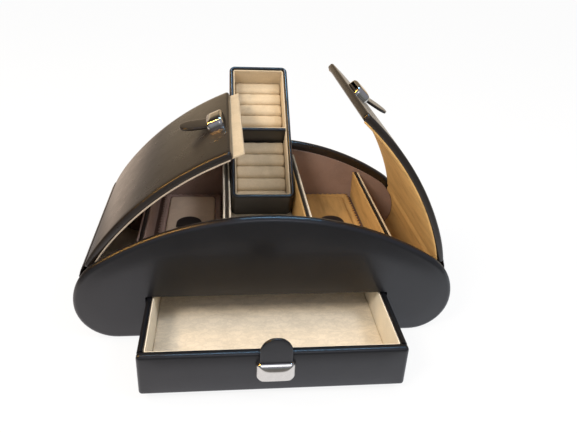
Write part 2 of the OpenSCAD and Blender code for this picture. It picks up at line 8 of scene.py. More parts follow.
import bmesh
import bpy
import numpy as np
from bpy.props import FloatProperty, FloatVectorProperty, PointerProperty
from bpy.types import Operator, Panel, PropertyGroup
from mathutils import Matrix, Vector


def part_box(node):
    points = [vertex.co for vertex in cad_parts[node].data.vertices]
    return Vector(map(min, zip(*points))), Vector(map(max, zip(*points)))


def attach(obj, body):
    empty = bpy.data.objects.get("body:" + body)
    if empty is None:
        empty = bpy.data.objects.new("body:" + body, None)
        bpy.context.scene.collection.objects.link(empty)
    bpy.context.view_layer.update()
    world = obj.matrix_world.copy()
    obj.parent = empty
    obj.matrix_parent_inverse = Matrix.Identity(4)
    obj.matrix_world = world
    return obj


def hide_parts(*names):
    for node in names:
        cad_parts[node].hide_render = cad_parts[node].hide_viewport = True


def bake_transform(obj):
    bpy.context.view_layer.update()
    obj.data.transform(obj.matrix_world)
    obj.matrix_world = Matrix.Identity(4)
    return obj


bl_info = {
    "name": "Half-moon jewellery case",
    "version": (1, 0, 0),
    "blender": (4, 5, 0),
    "location": "View3D > Sidebar > Jewellery case",
    "description": "Dresses the case in leather, velour and polished metal",
    "category": "Object",
}

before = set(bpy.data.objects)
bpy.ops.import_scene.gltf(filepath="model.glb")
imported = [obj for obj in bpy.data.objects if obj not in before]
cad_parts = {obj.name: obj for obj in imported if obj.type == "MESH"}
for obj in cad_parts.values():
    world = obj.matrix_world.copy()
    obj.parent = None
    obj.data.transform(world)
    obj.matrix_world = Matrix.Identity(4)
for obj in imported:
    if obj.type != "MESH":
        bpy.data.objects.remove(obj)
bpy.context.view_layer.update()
MM = 0.001
ACROSS_LID = (0, 1, 0)


def linear(code):
    """Linear RGB of an sRGB hex colour."""
    srgb = np.array([int(code[i:i + 2], 16) for i in (1, 3, 5)]) / 255
    low, high = srgb / 12.92, ((srgb + 0.055) / 1.055) ** 2.4
    return tuple(float(c) for c in np.where(srgb <= 0.04045, low, high))


def colour(name, code, words):
    """A colour property with an sRGB hex default."""
    return FloatVectorProperty(name=name, description=words, default=linear(code),
                               subtype="COLOR", size=3, min=0, max=1)


def length(name, millimetres, words):
    """A length property with its default in millimetres."""
    return FloatProperty(name=name, description=words, default=millimetres * MM,
                         min=0, unit="LENGTH", precision=4)


def angle(name, degrees, words):
    """An angle property with its default in degrees."""
    return FloatProperty(name=name, description=words, default=math.radians(degrees),
                         unit="ROTATION")


class CaseShape(PropertyGroup):
    """Sizes that the case's leather and lining pieces are worked out from."""
    arch_radius: length("Arch radius", 240, "Radius of the arched top")
    shoulder_radius: length("Shoulder radius", 43.75, "Radius of the shoulders")
    foot_radius: length("Foot radius", 32, "Radius of the lower corners")
    panel_crown: length("Panel crown", 1.3, "Swell of the padding in an end panel")
    board: length("Board", 5, "Thickness of a leather-covered lid board")
    board_inset: length("Board inset", 0.8, "How far the boards lie inside the panels")
    lining: length("Lining", 1.2, "Thickness of the velour linings")
    hinge_angle: angle("Hinge angle", 35, "Place of the hinge on the shoulder")
    hinge_radius: length("Hinge radius", 40, "Distance of the pin from the shoulder centre")
    end_step: angle("End step", 7.23, "Angle from the hinge to a board's end")
    left_open: angle("Left lid", 22, "Opening angle of the left lid")
    right_open: angle("Right lid", 40.2, "Opening angle of the right lid")
    lid_width: length("Lid width", 156.5, "Width of a lid from front to back")
    lip: length("Lip", 8.2, "Width of the left lid's velour lip")


class ClaspShape(PropertyGroup):
    """Sizes of the straps and their metal loops."""
    place: length("Place", 12, "Distance of a lid's loop from the lids' meeting line")
    loop_length: length("Loop length", 28.2, "Length of a loop across its strap")
    loop_width: length("Loop width", 14.2, "Width of a loop along its strap")
    loop_height: length("Loop height", 7.4, "Height of a loop's crown")
    strap_width: length("Strap width", 22.6, "Width of a strap")
    strap: length("Strap", 2.2, "Thickness of a strap")
    reach: length("Reach", 29, "Reach of a lid's strap from the middle of its loop")
    left_lift: angle("Left lift", 17.3, "Lift of the left strap's tip")
    right_lift: angle("Right lift", 12.7, "Lift of the right strap's tip")


class TrayShape(PropertyGroup):
    """Sizes of the drawer's tab and the ring box."""
    clasp_height: length("Clasp height", 21, "Height of the drawer's loop")
    tab_top: length("Tab top", 48.4, "Height of the drawer tab's top")
    tilt: angle("Ring box tilt", 36.7, "Tilt of the ring box")


class CaseFinish(PropertyGroup):
    """Colours of the case's finishes."""
    leather: colour("Leather", "#0e0e11", "Smooth black nappa of the case and its boxes")
    # The lid leather is the same black nappa with a warm brown painted into its colour: a painted
    # reflection of the warm room on the lids.
    lid_leather_and_reflection: colour("Lid leather", "#1c1611", "Black nappa, warmed to brown, on the lids")
    velour: colour("Velour", "#e6dac4", "Beige velour of the drawer, the well and its sides")
    rolls: colour("Ring rolls", "#d2c0a2", "Beige velour of the ring box")
    tan: colour("Left pad", "#d2bba2", "Tan velour of the left pad")
    lip: colour("Lip", "#c0af93", "Beige velour of the left lid's lip")
    piping: colour("Piping", "#a89a88", "Taupe velour of the left lid's piping")
    # The bed velour's dark colour is painted shade: it darkens the floor under the pads and the
    # seams, as shade in the gaps would.
    bed: colour("Bed", "#6b554b", "Dark velour under the lift-out pads")
    gold: colour("Golden lining", "#c09a62", "Golden brown velour of the right side")
    brown: colour("Brown lining", "#9d8579", "Brown velour of the left side and the ends")
    nickel: colour("Clasp metal", "#dcd8d0", "Polished nickel of the loops")
    steel: colour("Hinge metal", "#b9b3a8", "Brushed steel of the hinges")
    felt: colour("Base felt", "#19191b", "Black wool felt under the case")
    grain: length("Leather grain", 1.1, "Size of a pebble in the leather's grain")
    nap: length("Velour nap", 0.45, "Spacing of the velour's pile, drawn coarse enough to show")


# ---------------------------------------------------------------- shapes

def ring_profile(across=10, corner=5):
    """A rounded rectangle as four columns: position is
    (a*(w - r) + c*r, b*(t - r) + d*r) for half width w, half thickness t and
    corner radius r. It runs round once, with points across both broad faces."""
    rows = []
    quarter = np.linspace(0, np.pi / 2, corner + 1)
    span = np.linspace(-1, 1, across + 1)
    for sa, sb, start in ((1, 1, 0), (-1, 1, 1), (-1, -1, 2), (1, -1, 3)):
        turn = quarter + start * np.pi / 2
        rows += [(sa, sb, np.cos(q), np.sin(q)) for q in turn]
        if sa == sb:
            rows += [(-sa * s, sb, 0, sb) for s in span[1:-1]]
    return np.array(rows)


def unit(rows):
    """The rows of an array, each made one long."""
    return rows / np.linalg.norm(rows, axis=1)[:, None]


def run_along(path):
    """The distance run along a path at each of its points."""
    return np.concatenate(([0], np.cumsum(np.linalg.norm(np.diff(path, axis=0), axis=1))))


def even_path(path, stations):
    """The same path with its stations evenly spaced along its length."""
    run = run_along(path)
    at = np.linspace(0, run[-1], stations)
    return np.stack([np.interp(at, run, path[:, i]) for i in range(path.shape[1])], 1)


def squared_arc(turn, half_width, half_height, wide, tall):
    """Points of the squared-off ellipse |x/W|^wide + |y/H|^tall = 1 at angles."""
    cos, sin = np.cos(turn), np.sin(turn)
    return (np.sign(cos) * np.abs(cos) ** (2 / wide) * half_width,
            np.sign(sin) * np.abs(sin) ** (2 / tall) * half_height)


def round_tip(start, end, half, straight, curved):
    """Stations of a strap from its start to its tip, and its half width at each:
    it stays at half and then falls as sqrt(half^2 - x^2) from the tip's centre."""
    centre = end - half
    tip = np.sin(np.linspace(0, math.radians(84), curved))
    at = np.concatenate((np.linspace(start, centre, straight)[:-1], centre + half * tip))
    fall = np.sqrt(np.maximum(half**2 - (at - end + half) ** 2, 0))
    return at, np.where(at < centre, half, fall)


def add_mesh(name, points, faces, smooth_angle=40):
    """A mesh object from points and faces, with doubles merged, its faces
    turned outwards and sharp edges marked above an angle."""
    mesh = bpy.data.meshes.new(name)
    mesh.from_pydata(np.asarray(points, float).reshape(-1, 3).tolist(), [], faces)
    shell = bmesh.new()
    shell.from_mesh(mesh)
    bmesh.ops.remove_doubles(shell, verts=shell.verts, dist=0.002 * MM)
    bmesh.ops.dissolve_degenerate(shell, edges=shell.edges, dist=0.001 * MM)
    bmesh.ops.recalc_face_normals(shell, faces=shell.faces)
    mark_sharp(shell, mesh, smooth_angle)
    piece = bpy.data.objects.new(name, mesh)
    bpy.context.scene.collection.objects.link(piece)
    return piece


def mark_sharp(shell, mesh, smooth_angle):
    """Shades an edited mesh smooth, apart from edges above an angle in degrees."""
    limit = math.radians(smooth_angle)
    for face in shell.faces:
        face.smooth = True
    for edge in shell.edges:
        edge.smooth = edge.calc_face_angle(0) < limit
    shell.to_mesh(mesh)
    shell.free()


def grid_faces(rows, columns, closed_rows=False):
    """Quads of a grid whose rows are closed rings, with the first and last
    ring capped, or with the last row joined to the first."""
    index = np.arange(rows * columns).reshape(rows, columns)
    if closed_rows:
        index = np.vstack((index, index[:1]))
    ahead = np.roll(index, -1, axis=1)
    quads = np.stack((index[:-1], ahead[:-1], ahead[1:], index[1:]), -1).reshape(-1, 4)
    faces = quads.tolist()
    if not closed_rows:
        faces += [index[0][::-1].tolist(), index[-1].tolist()]
    return faces


def slab(name, path, normal, side, half_width, half_thick, edge, crown=0.0,
         under=0.0, closed=False, across=10, wave=None, corner=0.0):
    """A soft-edged board carried along a path.

    At each station of the path a rounded rectangle stands on the side direction
    (its width) and the normal (its thickness). Its broad faces swell by
    crown * (1 - |a|^2.5) outwards on the normal's side and by under times the
    same on the other, with a from -1 to 1 across the width. Near an open end the
    swell fades as (12 e)^0.6, with e the share of the path from that end. At the
    two ends the thickness shrinks along a quarter circle of the edge radius, and
    the width along one of the corner radius. A wave adds its height times
    (1 - |a|^6) to the normal's side, from the distance across and the distance
    along the path."""
    path, normal, side = (np.asarray(v, float) for v in (path, normal, side))
    side = np.broadcast_to(side, path.shape)
    half_width, half_thick = (np.broadcast_to(np.asarray(v, float), (len(path),))
                              for v in (half_width, half_thick))
    run = run_along(path)
    shrink = narrow = np.zeros(len(path))
    if not closed:
        corner = max(corner, edge)
        turn = np.sin(np.linspace(np.pi / 2, 0, 7))
        ends = np.unique(np.concatenate((edge * (1 - turn), corner * (1 - turn))).round(7))
        # The path's own stations stay clear of those that round its ends.
        clear = corner * 1.02
        inside = run[(run > clear) & (run < run[-1] - clear)]
        at = np.concatenate((ends, inside, (run[-1] - ends)[::-1]))

        def pick(values):
            flat = values.reshape(len(run), -1)
            return np.stack([np.interp(at, run, row) for row in flat.T], 1)

        path, normal, side = (pick(v) for v in (path, normal, side))
        half_width, half_thick = pick(half_width)[:, 0], pick(half_thick)[:, 0]
        left = np.minimum(at, run[-1] - at)
        shrink, narrow = (size - np.sqrt(size**2 - np.clip(size - left, 0, size) ** 2)
                          for size in (edge, corner))
        run = at
    a, b, c, d = ring_profile(across).T
    radius = np.minimum(edge, np.minimum(half_width, half_thick)) - shrink
    radius = np.maximum(radius, 0)[:, None]
    width = np.maximum(half_width - narrow, 0)[:, None]
    radius = np.minimum(radius, width)
    thick = np.maximum(half_thick - shrink, 0)[:, None]
    x = a * (width - radius) + c * radius
    z = b * (thick - radius) + d * radius
    bow = (1 - np.abs(a) ** 2.5) * (1 - shrink / edge)[:, None]
    if not closed:
        near_end = np.minimum(run, run[-1] - run) / run[-1]
        bow = bow * (np.minimum(1, 12 * near_end) ** 0.6)[:, None]
    z = z + np.where(b > 0, crown, -under) * bow
    if wave is not None:
        z = z + wave(x, run[:, None] + 0 * x) * (b > 0) * (1 - np.abs(a) ** 6)
    points = path[:, None] + side[:, None] * x[..., None] + normal[:, None] * z[..., None]
    return add_mesh(name, points, grid_faces(len(path), len(a), closed_rows=closed))


def plate(name, low, high, face, edge, crown=0.0, stations=24, across=16, wave=None,
          corner=0.0):
    """A soft box between two corners, whose broad face looks along X, Y or Z as
    face is 1, 2 or 3, or the other way if it is negative. Its path runs along the
    longer of the other two axes."""
    low, high = np.array(low, float), np.array(high, float)
    out = abs(face) - 1
    others = [i for i in range(3) if i != out]
    along, cross = sorted(others, key=lambda i: low[i] - high[i])
    middle = (low + high) / 2
    path = np.repeat(middle[None], stations, 0)
    path[:, along] = np.linspace(low[along], high[along], stations)
    normal = np.zeros((stations, 3))
    normal[:, out] = math.copysign(1, face)
    side = np.zeros(3)
    side[cross] = 1
    half = (high - low) / 2
    return slab(name, path, normal, side, half[cross], half[out],
                min(edge, half[out], half[cross]), crown, across=across, wave=wave,
                corner=corner)


def waves(seed, size, height, count=9):
    """A smooth random field of two lengths: the sum of plane waves of about one
    size, running in random directions, which a fixed seed makes the same each
    time."""
    random = np.random.default_rng(seed)
    heading = random.uniform(0, 2 * np.pi, count)
    pitch = 2 * np.pi / (size * random.uniform(0.6, 1.6, count))
    phase = random.uniform(0, 2 * np.pi, count)

    def field(u, v):
        total = sum(np.sin(pitch[i] * (u * np.cos(heading[i]) + v * np.sin(heading[i]))
                           + phase[i]) for i in range(count))
        return height * total / math.sqrt(count)
    return field


def moved(piece, matrix):
    """Places a piece by its mesh, which leaves its object at the origin. A
    mirrored piece has its faces turned outwards again."""
    piece.data.transform(matrix)
    if matrix.determinant() < 0:
        piece.data.flip_normals()
    return piece


def dress(piece, material, body, slot, *nodes):
    """Gives a piece its finish and its body, and hides the nodes it stands for. Its slot is not
    used.
    """
    piece.data.materials.clear()
    piece.data.materials.append(material)
    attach(piece, body)
    if nodes:
        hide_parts(*nodes)


# ---------------------------------------------------------------- outline

def shape():
    """The case's sizes."""
    return bpy.context.scene.case_shape


def case_arcs():
    """The centres of the arch, shoulder and foot arcs of the end panels' outline,
    each arc tangent to the next, and the angle where arch and shoulder meet."""
    s = shape()
    low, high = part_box("back_panel")
    half = (high.x - low.x) / 2
    arch = np.array([0, high.z - s.arch_radius])
    shoulder = np.array([half - s.shoulder_radius, s.foot_radius])
    foot = np.array([half - s.foot_radius, s.foot_radius])
    return arch, shoulder, foot, math.atan2(shoulder[1] - arch[1], shoulder[0])


def outline_stations():
    """Stations round the end panels' outline as centre, direction and radius, so
    that a point drawn inward by i is centre + (radius - i) * direction."""
    s = shape()
    arch, shoulder, foot, joint = case_arcs()
    foot_arc = (foot, s.foot_radius, np.linspace(-np.pi / 2, 0, 14)[:-1])
    shoulder_arc = (shoulder, s.shoulder_radius, np.linspace(0, joint, 16)[:-1])
    arcs = [foot_arc, shoulder_arc,
            (arch, s.arch_radius, np.linspace(joint, np.pi - joint, 90)[:-1])]
    arcs += [(middle * (-1, 1), radius, np.pi - turn[::-1])
             for middle, radius, turn in (shoulder_arc, foot_arc)]
    # The foot's last station and a straight bottom close the ring.
    base = np.linspace(-foot[0], foot[0], 40)[:-1]
    centre = np.concatenate([np.repeat(middle[None], len(turn), 0) for middle, _, turn in arcs]
                            + [np.column_stack((base, 0 * base))])
    radius = np.concatenate([np.full(len(turn), size) for _, size, turn in arcs] + [0 * base])
    turn = np.concatenate([turn for _, _, turn in arcs] + [0 * base - np.pi / 2])
    return centre, np.stack((np.cos(turn), np.sin(turn)), 1), radius


def panel(name, middle_y, thick, crown):
    """An end panel: the outline drawn inward along a half-round rim, then along
    both broad faces, which swell as crown * sin over the first 20 mm and are
    flat beyond."""
    centre, heading, radius = outline_stations()
    rim = thick / 2
    face = np.array([20, 16, 12.5, 9.5, 7]) * MM
    bend = np.linspace(np.pi / 2, 0, 9)
    swell = crown * np.sin(np.clip((face - rim) / (face[0] - rim), 0, 1) * np.pi / 2)
    inset = np.concatenate((face, rim - rim * np.cos(bend)))
    depth = np.concatenate((rim + swell, rim * np.sin(bend)))
    inset = np.concatenate((inset, inset[-2::-1]))
    depth = np.concatenate((-depth, depth[-2::-1]))
    flat = centre[None] + (radius[None, :, None] - inset[:, None, None]) * heading[None]
    across = np.broadcast_to(middle_y + depth[:, None], flat.shape[:2])
    points = np.stack((flat[..., 0], across, flat[..., 1]), -1)
    return add_mesh(name, points, grid_faces(len(inset), len(radius)))


def cut_opening(piece, low, high):
    """Cuts a box through a piece and takes the result as its mesh."""
    cutter = plate("opening_cutter", low, high, -2, 1.2 * MM, stations=2, across=2)
    step = piece.modifiers.new("Opening", "BOOLEAN")
    step.operation, step.solver, step.object = "DIFFERENCE", "EXACT", cutter
    graph = bpy.context.evaluated_depsgraph_get()
    mesh = bpy.data.meshes.new_from_object(piece.evaluated_get(graph))
    piece.modifiers.clear()
    old, piece.data = piece.data, mesh
    bpy.data.meshes.remove(old)
    bpy.data.objects.remove(cutter)
    shell = bmesh.new()
    shell.from_mesh(mesh)
    mark_sharp(shell, mesh, 40)


def lid_path(depth, start_x, foot_back, stations=90):
    """Points and outward normals along a closed right lid, at a depth below its
    outer face: from the free edge at X = start_x over the arch and round the
    shoulder to an angle past the hinge. The board is stiff, so the path is eased
    where the shoulder's tighter arc begins: each point is drawn halfway to the
    middle of its neighbours, many times over."""
    s = shape()
    arch, shoulder, _, joint = case_arcs()
    over = s.arch_radius - s.board_inset
    around = s.shoulder_radius - s.board_inset
    top = np.linspace(np.pi / 2 - start_x / over, joint, 200)
    low = np.linspace(joint, s.hinge_angle + foot_back, 60)[1:]
    path = even_path(np.vstack((arch + over * np.stack((np.cos(top), np.sin(top)), 1),
                                shoulder + around * np.stack((np.cos(low), np.sin(low)), 1))),
                     stations)
    easings = 70
    for _ in range(easings):
        path[1:-1] += 0.25 * (path[2:] - 2 * path[1:-1] + path[:-2])
    ahead = unit(np.gradient(path, axis=0))
    out = np.stack((-ahead[:, 1], np.zeros(len(path)), ahead[:, 0]), 1)
    return np.stack((path[:, 0], np.zeros(len(path)), path[:, 1]), 1) - depth * out, out


def opened(right):
    """The transform that opens a closed right lid, and mirrors it for the left."""
    s = shape()
    _, shoulder, _, _ = case_arcs()
    hinge = Vector((shoulder[0] + s.hinge_radius * math.cos(s.hinge_angle), 0,
                    shoulder[1] + s.hinge_radius * math.sin(s.hinge_angle)))
    open_by = s.right_open if right else s.left_open
    turned = (Matrix.Translation(hinge) @ Matrix.Rotation(open_by, 4, "Y")
              @ Matrix.Translation(-hinge))
    return turned if right else Matrix.Diagonal((-1, 1, 1, 1)) @ turned


def on_lid(right):
    """Frame on a lid's outside: +x towards the hinge, +z out of the lid."""
    s, c = shape(), bpy.context.scene.clasp_shape
    arch, _, _, _ = case_arcs()
    outer = s.arch_radius - s.board_inset
    return (opened(right) @ Matrix.Translation((0, 0, arch[1]))
            @ Matrix.Rotation(c.place / outer, 4, "Y") @ Matrix.Translation((0, 0, outer)))


# ---------------------------------------------------------------- finishes

def add_node(material, kind, links=(), stops=(), **settings):
    """Adds a shader node. Settings are its properties or, where their name is an
    input's, that input's value; links are (output, input) pairs, and stops are a
    colour ramp's (place, colour) pairs."""
    made = material.node_tree.nodes.new(kind)
    for key, value in settings.items():
        if hasattr(made, key):
            setattr(made, key, value)
        else:
            made.inputs[key.replace("_", " ")].default_value = value
    for source, target in links:
        material.node_tree.links.new(source, made.inputs[target])
    if stops:
        marks = made.color_ramp.elements
        while len(marks) < len(stops):
            marks.new(0.5)
        for mark, (place, tint) in zip(marks, stops):
            mark.position, mark.color = place, tint
    return made


def blank(name):
    """A new node material with its shader, output and object coordinates."""
    material = bpy.data.materials.new(name)
    material.use_nodes = True
    material.node_tree.nodes.clear()
    shader = add_node(material, "ShaderNodeBsdfPrincipled")
    add_node(material, "ShaderNodeOutputMaterial", [(shader.outputs[0], "Surface")])
    place = add_node(material, "ShaderNodeTexCoord").outputs["Object"]
    return material, shader, place


def rgba(tint, lighter=1.0):
    """A linear colour, made lighter or darker, with its alpha."""
    return tuple(min(1.0, c * lighter) for c in tint) + (1.0,)


def grey(value):
    """A linear grey with its alpha."""
    return (value, value, value, 1.0)


def leather(name, tint, grain, gloss=0.35):
    """Smooth dyed nappa: fine pebbled grain, a soft body sheen under a thin
    clearer finish that picks out the edges, and slow changes of tone where the
    hide has been handled."""
    m, shader, place = blank(name)
    link = m.node_tree.links.new
    tone_size, rub_size = 35.7 * MM, 14.3 * MM
    patch = add_node(m, "ShaderNodeTexNoise", [(place, "Vector")], Scale=1 / tone_size, Detail=4.0,
                     Roughness=0.6)
    tone = add_node(m, "ShaderNodeValToRGB", [(patch.outputs["Fac"], "Fac")],
                    stops=((0.3, rgba(tint, 0.85)), (0.7, rgba(tint, 1.3))))
    link(tone.outputs["Color"], shader.inputs["Base Color"])
    rub = add_node(m, "ShaderNodeTexNoise", [(place, "Vector")], Scale=1 / rub_size, Detail=5.0,
                   Roughness=0.65)
    shine = add_node(m, "ShaderNodeValToRGB", [(rub.outputs["Fac"], "Fac")],
                     stops=((0.3, grey(gloss - 0.03)), (0.75, grey(gloss + 0.05))))
    link(shine.outputs["Color"], shader.inputs["Roughness"])
    pebble = add_node(m, "ShaderNodeTexVoronoi", [(place, "Vector")], Scale=1 / grain,
                      feature="SMOOTH_F1")
    crease = add_node(m, "ShaderNodeTexNoise", [(place, "Vector")], Scale=1 / (4 * grain),
                      Detail=3.0, Roughness=0.5)
    fine = add_node(m, "ShaderNodeBump", [(pebble.outputs["Distance"], "Height")],
                    Strength=0.16, Distance=0.12 * MM, invert=True)
    broad = add_node(m, "ShaderNodeBump", [(crease.outputs["Fac"], "Height"),
                                           (fine.outputs[0], "Normal")],
                     Strength=0.12, Distance=0.2 * MM)
    link(broad.outputs[0], shader.inputs["Normal"])
    shader.inputs["IOR"].default_value = 1.5
    shader.inputs["Specular IOR Level"].default_value = 0.6
    shader.inputs["Coat Weight"].default_value = 0.25
    shader.inputs["Coat Roughness"].default_value = 0.14
    return m


def velour(name, tint, nap, crush=0.0, sheen_streak=None, sheen=0.3):
    """Cut-pile velour: matt, with a soft sheen at grazing angles and patches of
    nap that lie in different directions. Crush adds the short broken creases of
    a pressed pile, as bumps and as painted shade that darkens the colour along
    them. A streak scale stretches the patches along an axis and spreads their
    tone wider, so that they stand for the nap and for streaks of painted sheen."""
    m, shader, place = blank(name)
    link = m.node_tree.links.new
    patch_size, fold_size, fray_size, stray = 20.8 * MM, 9.1 * MM, 6.25 * MM, 16 * MM
    along = place
    if sheen_streak:
        along = add_node(m, "ShaderNodeMapping", [(place, "Vector")], Scale=sheen_streak).outputs[0]
    patch = add_node(m, "ShaderNodeTexNoise", [(along, "Vector")], Scale=1 / patch_size,
                     Detail=6.0, Roughness=0.6, Distortion=0.4)
    # With a streak, the patches' tone spreads wider into light and dark streaks. These stand
    # partly for the nap and partly for a painted sheen.
    low, high = (0.72, 1.16) if sheen_streak else (0.9, 1.06)
    tone = add_node(m, "ShaderNodeValToRGB", [(patch.outputs["Fac"], "Fac")],
                    stops=((0.3, rgba(tint, low)), (0.5, rgba(tint)), (0.72, rgba(tint, high))))
    pile = add_node(m, "ShaderNodeTexNoise", [(place, "Vector")], Scale=1 / (2 * nap),
                    Detail=3.0, Roughness=0.7).outputs["Fac"]
    shade = add_node(m, "ShaderNodeValToRGB", [(pile, "Fac")],
                     stops=((0.3, grey(0.9)), (0.7, grey(1.0)))).outputs["Color"]
    height = pile
    if crush:
        # Creases are long cell borders, bent and broken up by finer noise. Besides their bumps,
        # they darken the colour along them as painted shade.
        bend = add_node(m, "ShaderNodeTexNoise", [(place, "Vector")], Scale=1 / fray_size,
                        Detail=4.0)
        slant = add_node(m, "ShaderNodeMapping", [(place, "Vector")], Scale=(0.45, 1.5, 1.0),
                         Rotation=(0.0, 0.0, 0.45))
        shift = add_node(m, "ShaderNodeVectorMath", [(bend.outputs["Color"], 0),
                                                     (slant.outputs[0], 2)],
                         operation="MULTIPLY_ADD")
        shift.inputs[1].default_value = (stray, stray, stray)
        cell = add_node(m, "ShaderNodeTexVoronoi", [(shift.outputs[0], "Vector")],
                        Scale=1 / fold_size, feature="DISTANCE_TO_EDGE")
        height = add_node(m, "ShaderNodeValToRGB", [(cell.outputs["Distance"], "Fac")],
                          stops=((0.0, grey(1 - 0.11 * crush)),
                                 (0.22, grey(1.0)))).outputs["Color"]
        # The crease ramp is multiplied into the colour: painted shade in the creases.
        shade = add_node(m, "ShaderNodeMix", [(shade, 6), (height, 7)], data_type="RGBA",
                         blend_type="MULTIPLY", Factor=1.0).outputs[2]
    cloth = add_node(m, "ShaderNodeMix", [(tone.outputs["Color"], 6), (shade, 7)],
                     data_type="RGBA", blend_type="MULTIPLY", Factor=1.0)
    link(cloth.outputs[2], shader.inputs["Base Color"])
    tufts = add_node(m, "ShaderNodeBump", [(pile, "Height")], Strength=0.3, Distance=0.3 * MM)
    folds = add_node(m, "ShaderNodeBump", [(height, "Height"), (tufts.outputs[0], "Normal")],
                     Strength=0.3, Distance=0.4 * MM)
    link(folds.outputs[0], shader.inputs["Normal"])
    shader.inputs["Roughness"].default_value = 0.95
    shader.inputs["Specular IOR Level"].default_value = 0.2
    shader.inputs["Sheen Weight"].default_value = sheen
    shader.inputs["Sheen Roughness"].default_value = 0.45
    shader.inputs["Sheen Tint"].default_value = rgba(tint, 1.4)
    return m


def metal(name, tint, rough, brush):
    """Plated metal: polished nickel with faint wipe marks, or, with brush, steel
    brushed across the hinge. Its lines are 17 mm long, and 0.4 mm apart so that
    they are coarse enough to show."""
    m, shader, place = blank(name)
    link = m.node_tree.links.new
    wipe_size = 3.85 * MM
    scale = (1 / (16.7 * MM), 1 / (0.4 * MM), 1 / (16.7 * MM)) if brush else (1, 1, 1)
    drawn = add_node(m, "ShaderNodeMapping", [(place, "Vector")], Scale=scale)
    marks = add_node(m, "ShaderNodeTexNoise", [(drawn.outputs[0], "Vector")],
                     Scale=1.0 if brush else 1 / wipe_size, Detail=4.0,
                     Roughness=0.6).outputs["Fac"]
    shine = add_node(m, "ShaderNodeValToRGB", [(marks, "Fac")],
                     stops=((0.3, grey(rough * 0.7)), (0.75, grey(rough * 1.6))))
    link(shine.outputs["Color"], shader.inputs["Roughness"])
    tone = add_node(m, "ShaderNodeValToRGB", [(marks, "Fac")],
                    stops=((0.3, rgba(tint, 0.94)), (0.7, rgba(tint, 1.03))))
    link(tone.outputs["Color"], shader.inputs["Base Color"])
    if brush:
        lines = add_node(m, "ShaderNodeBump", [(marks, "Height")], Strength=0.1,
                         Distance=0.05 * MM)
        link(lines.outputs[0], shader.inputs["Normal"])
    shader.inputs["Metallic"].default_value = 1.0
    return m


def felt(name, tint):
    """Pressed wool felt under the case: matt, with short tangled fibres."""
    m, shader, place = blank(name)
    link = m.node_tree.links.new
    fibre_size = 1.11 * MM
    fibre = add_node(m, "ShaderNodeTexNoise", [(place, "Vector")], Scale=1 / fibre_size,
                     Detail=4.0, Roughness=0.8).outputs["Fac"]
    tone = add_node(m, "ShaderNodeValToRGB", [(fibre, "Fac")],
                    stops=((0.3, rgba(tint, 0.7)), (0.7, rgba(tint, 1.5))))
    link(tone.outputs["Color"], shader.inputs["Base Color"])
    fuzz = add_node(m, "ShaderNodeBump", [(fibre, "Height")], Strength=0.5, Distance=0.4 * MM)
    link(fuzz.outputs[0], shader.inputs["Normal"])
    shader.inputs["Roughness"].default_value = 1.0
    return m


FINISH = {}


class CASE_OT_finishes(Operator):
    """Makes the finishes and gives each CAD node that stays its own"""
    bl_idname = "case.finishes"
    bl_label = "Finishes"

    def execute(self, context):
        f = context.scene.case_finish
        FINISH.update(
            leather=leather("black_nappa_leather", f.leather, f.grain),
            # The lid finish carries a painted warm reflection in its colour. The lids, their
            # straps, their outer hinge covers and the back panel wear it.
            lid=leather("lid_nappa_painted_reflection", f.lid_leather_and_reflection, f.grain, gloss=0.29),
            velour=velour("beige_velour", f.velour, f.nap),
            rolls=velour("roll_velour", f.rolls, f.nap, crush=0.4),
            pad=velour("tan_velour", f.tan, f.nap, crush=0.3),
            lip=velour("lip_velour", f.lip, f.nap, crush=0.4),
            piping=velour("piping_velour", f.piping, f.nap),
            crushed=velour("crushed_beige_velour", f.velour, f.nap, crush=1.0),
            # The golden velour's streaks are partly its nap and partly a painted sheen.
            gold=velour("golden_velour", f.gold, f.nap, sheen_streak=(2.2, 0.3, 2.2)),
            brown=velour("brown_velour", f.brown, f.nap, sheen=0.2),
            bed=velour("dark_bed_velour", f.bed, f.nap, sheen=0.1),
            nickel=metal("polished_nickel", f.nickel, 0.13, False),
            steel=metal("brushed_steel", f.steel, 0.3, True),
            felt=felt("base_felt", f.felt),
        )
        # The floor board under the pads takes the dark bed velour: painted shade in the gaps round
        # the pads.
        worn = {"base_felt": "felt", "floor_board": "bed", "base_board": "brown",
                "front_ledge": "brown", "back_ledge": "brown",
                "left_side_lining": "velour", "right_side_lining": "gold"}
        worn.update((f"{side}_{part}", "steel") for side in ("left", "right")
                    for part in ("case_leaf", "hinge_pin", "lid_leaf"))
        for node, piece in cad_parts.items():
            piece.data.materials.clear()
            piece.data.materials.append(FINISH[worn.get(node, "leather")])
        return {"FINISHED"}


class CASE_OT_panels(Operator):
    """Padded leather end panels with a half-round rim"""
    bl_idname = "case.panels"
    bl_label = "End panels"

    def execute(self, context):
        crown = shape().panel_crown
        for node in ("front_panel", "back_panel"):
            low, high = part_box(node)
            piece = panel(node + "_leather", (low.y + high.y) / 2, high.y - low.y, crown)
            if node == "front_panel":
                drawer_low, drawer_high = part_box("drawer_front")
                gap, past = 0.8 * MM, 10 * MM
                cut_opening(piece, (drawer_low.x - gap, low.y - past, drawer_low.z - gap),
                            (drawer_high.x + gap, high.y + past, drawer_high.z + gap))
            # The back panel takes the lid leather, with its painted warm reflection.
            dress(piece, FINISH["lid" if node == "back_panel" else "leather"], "case",
                  "leather", node)
        return {"FINISHED"}


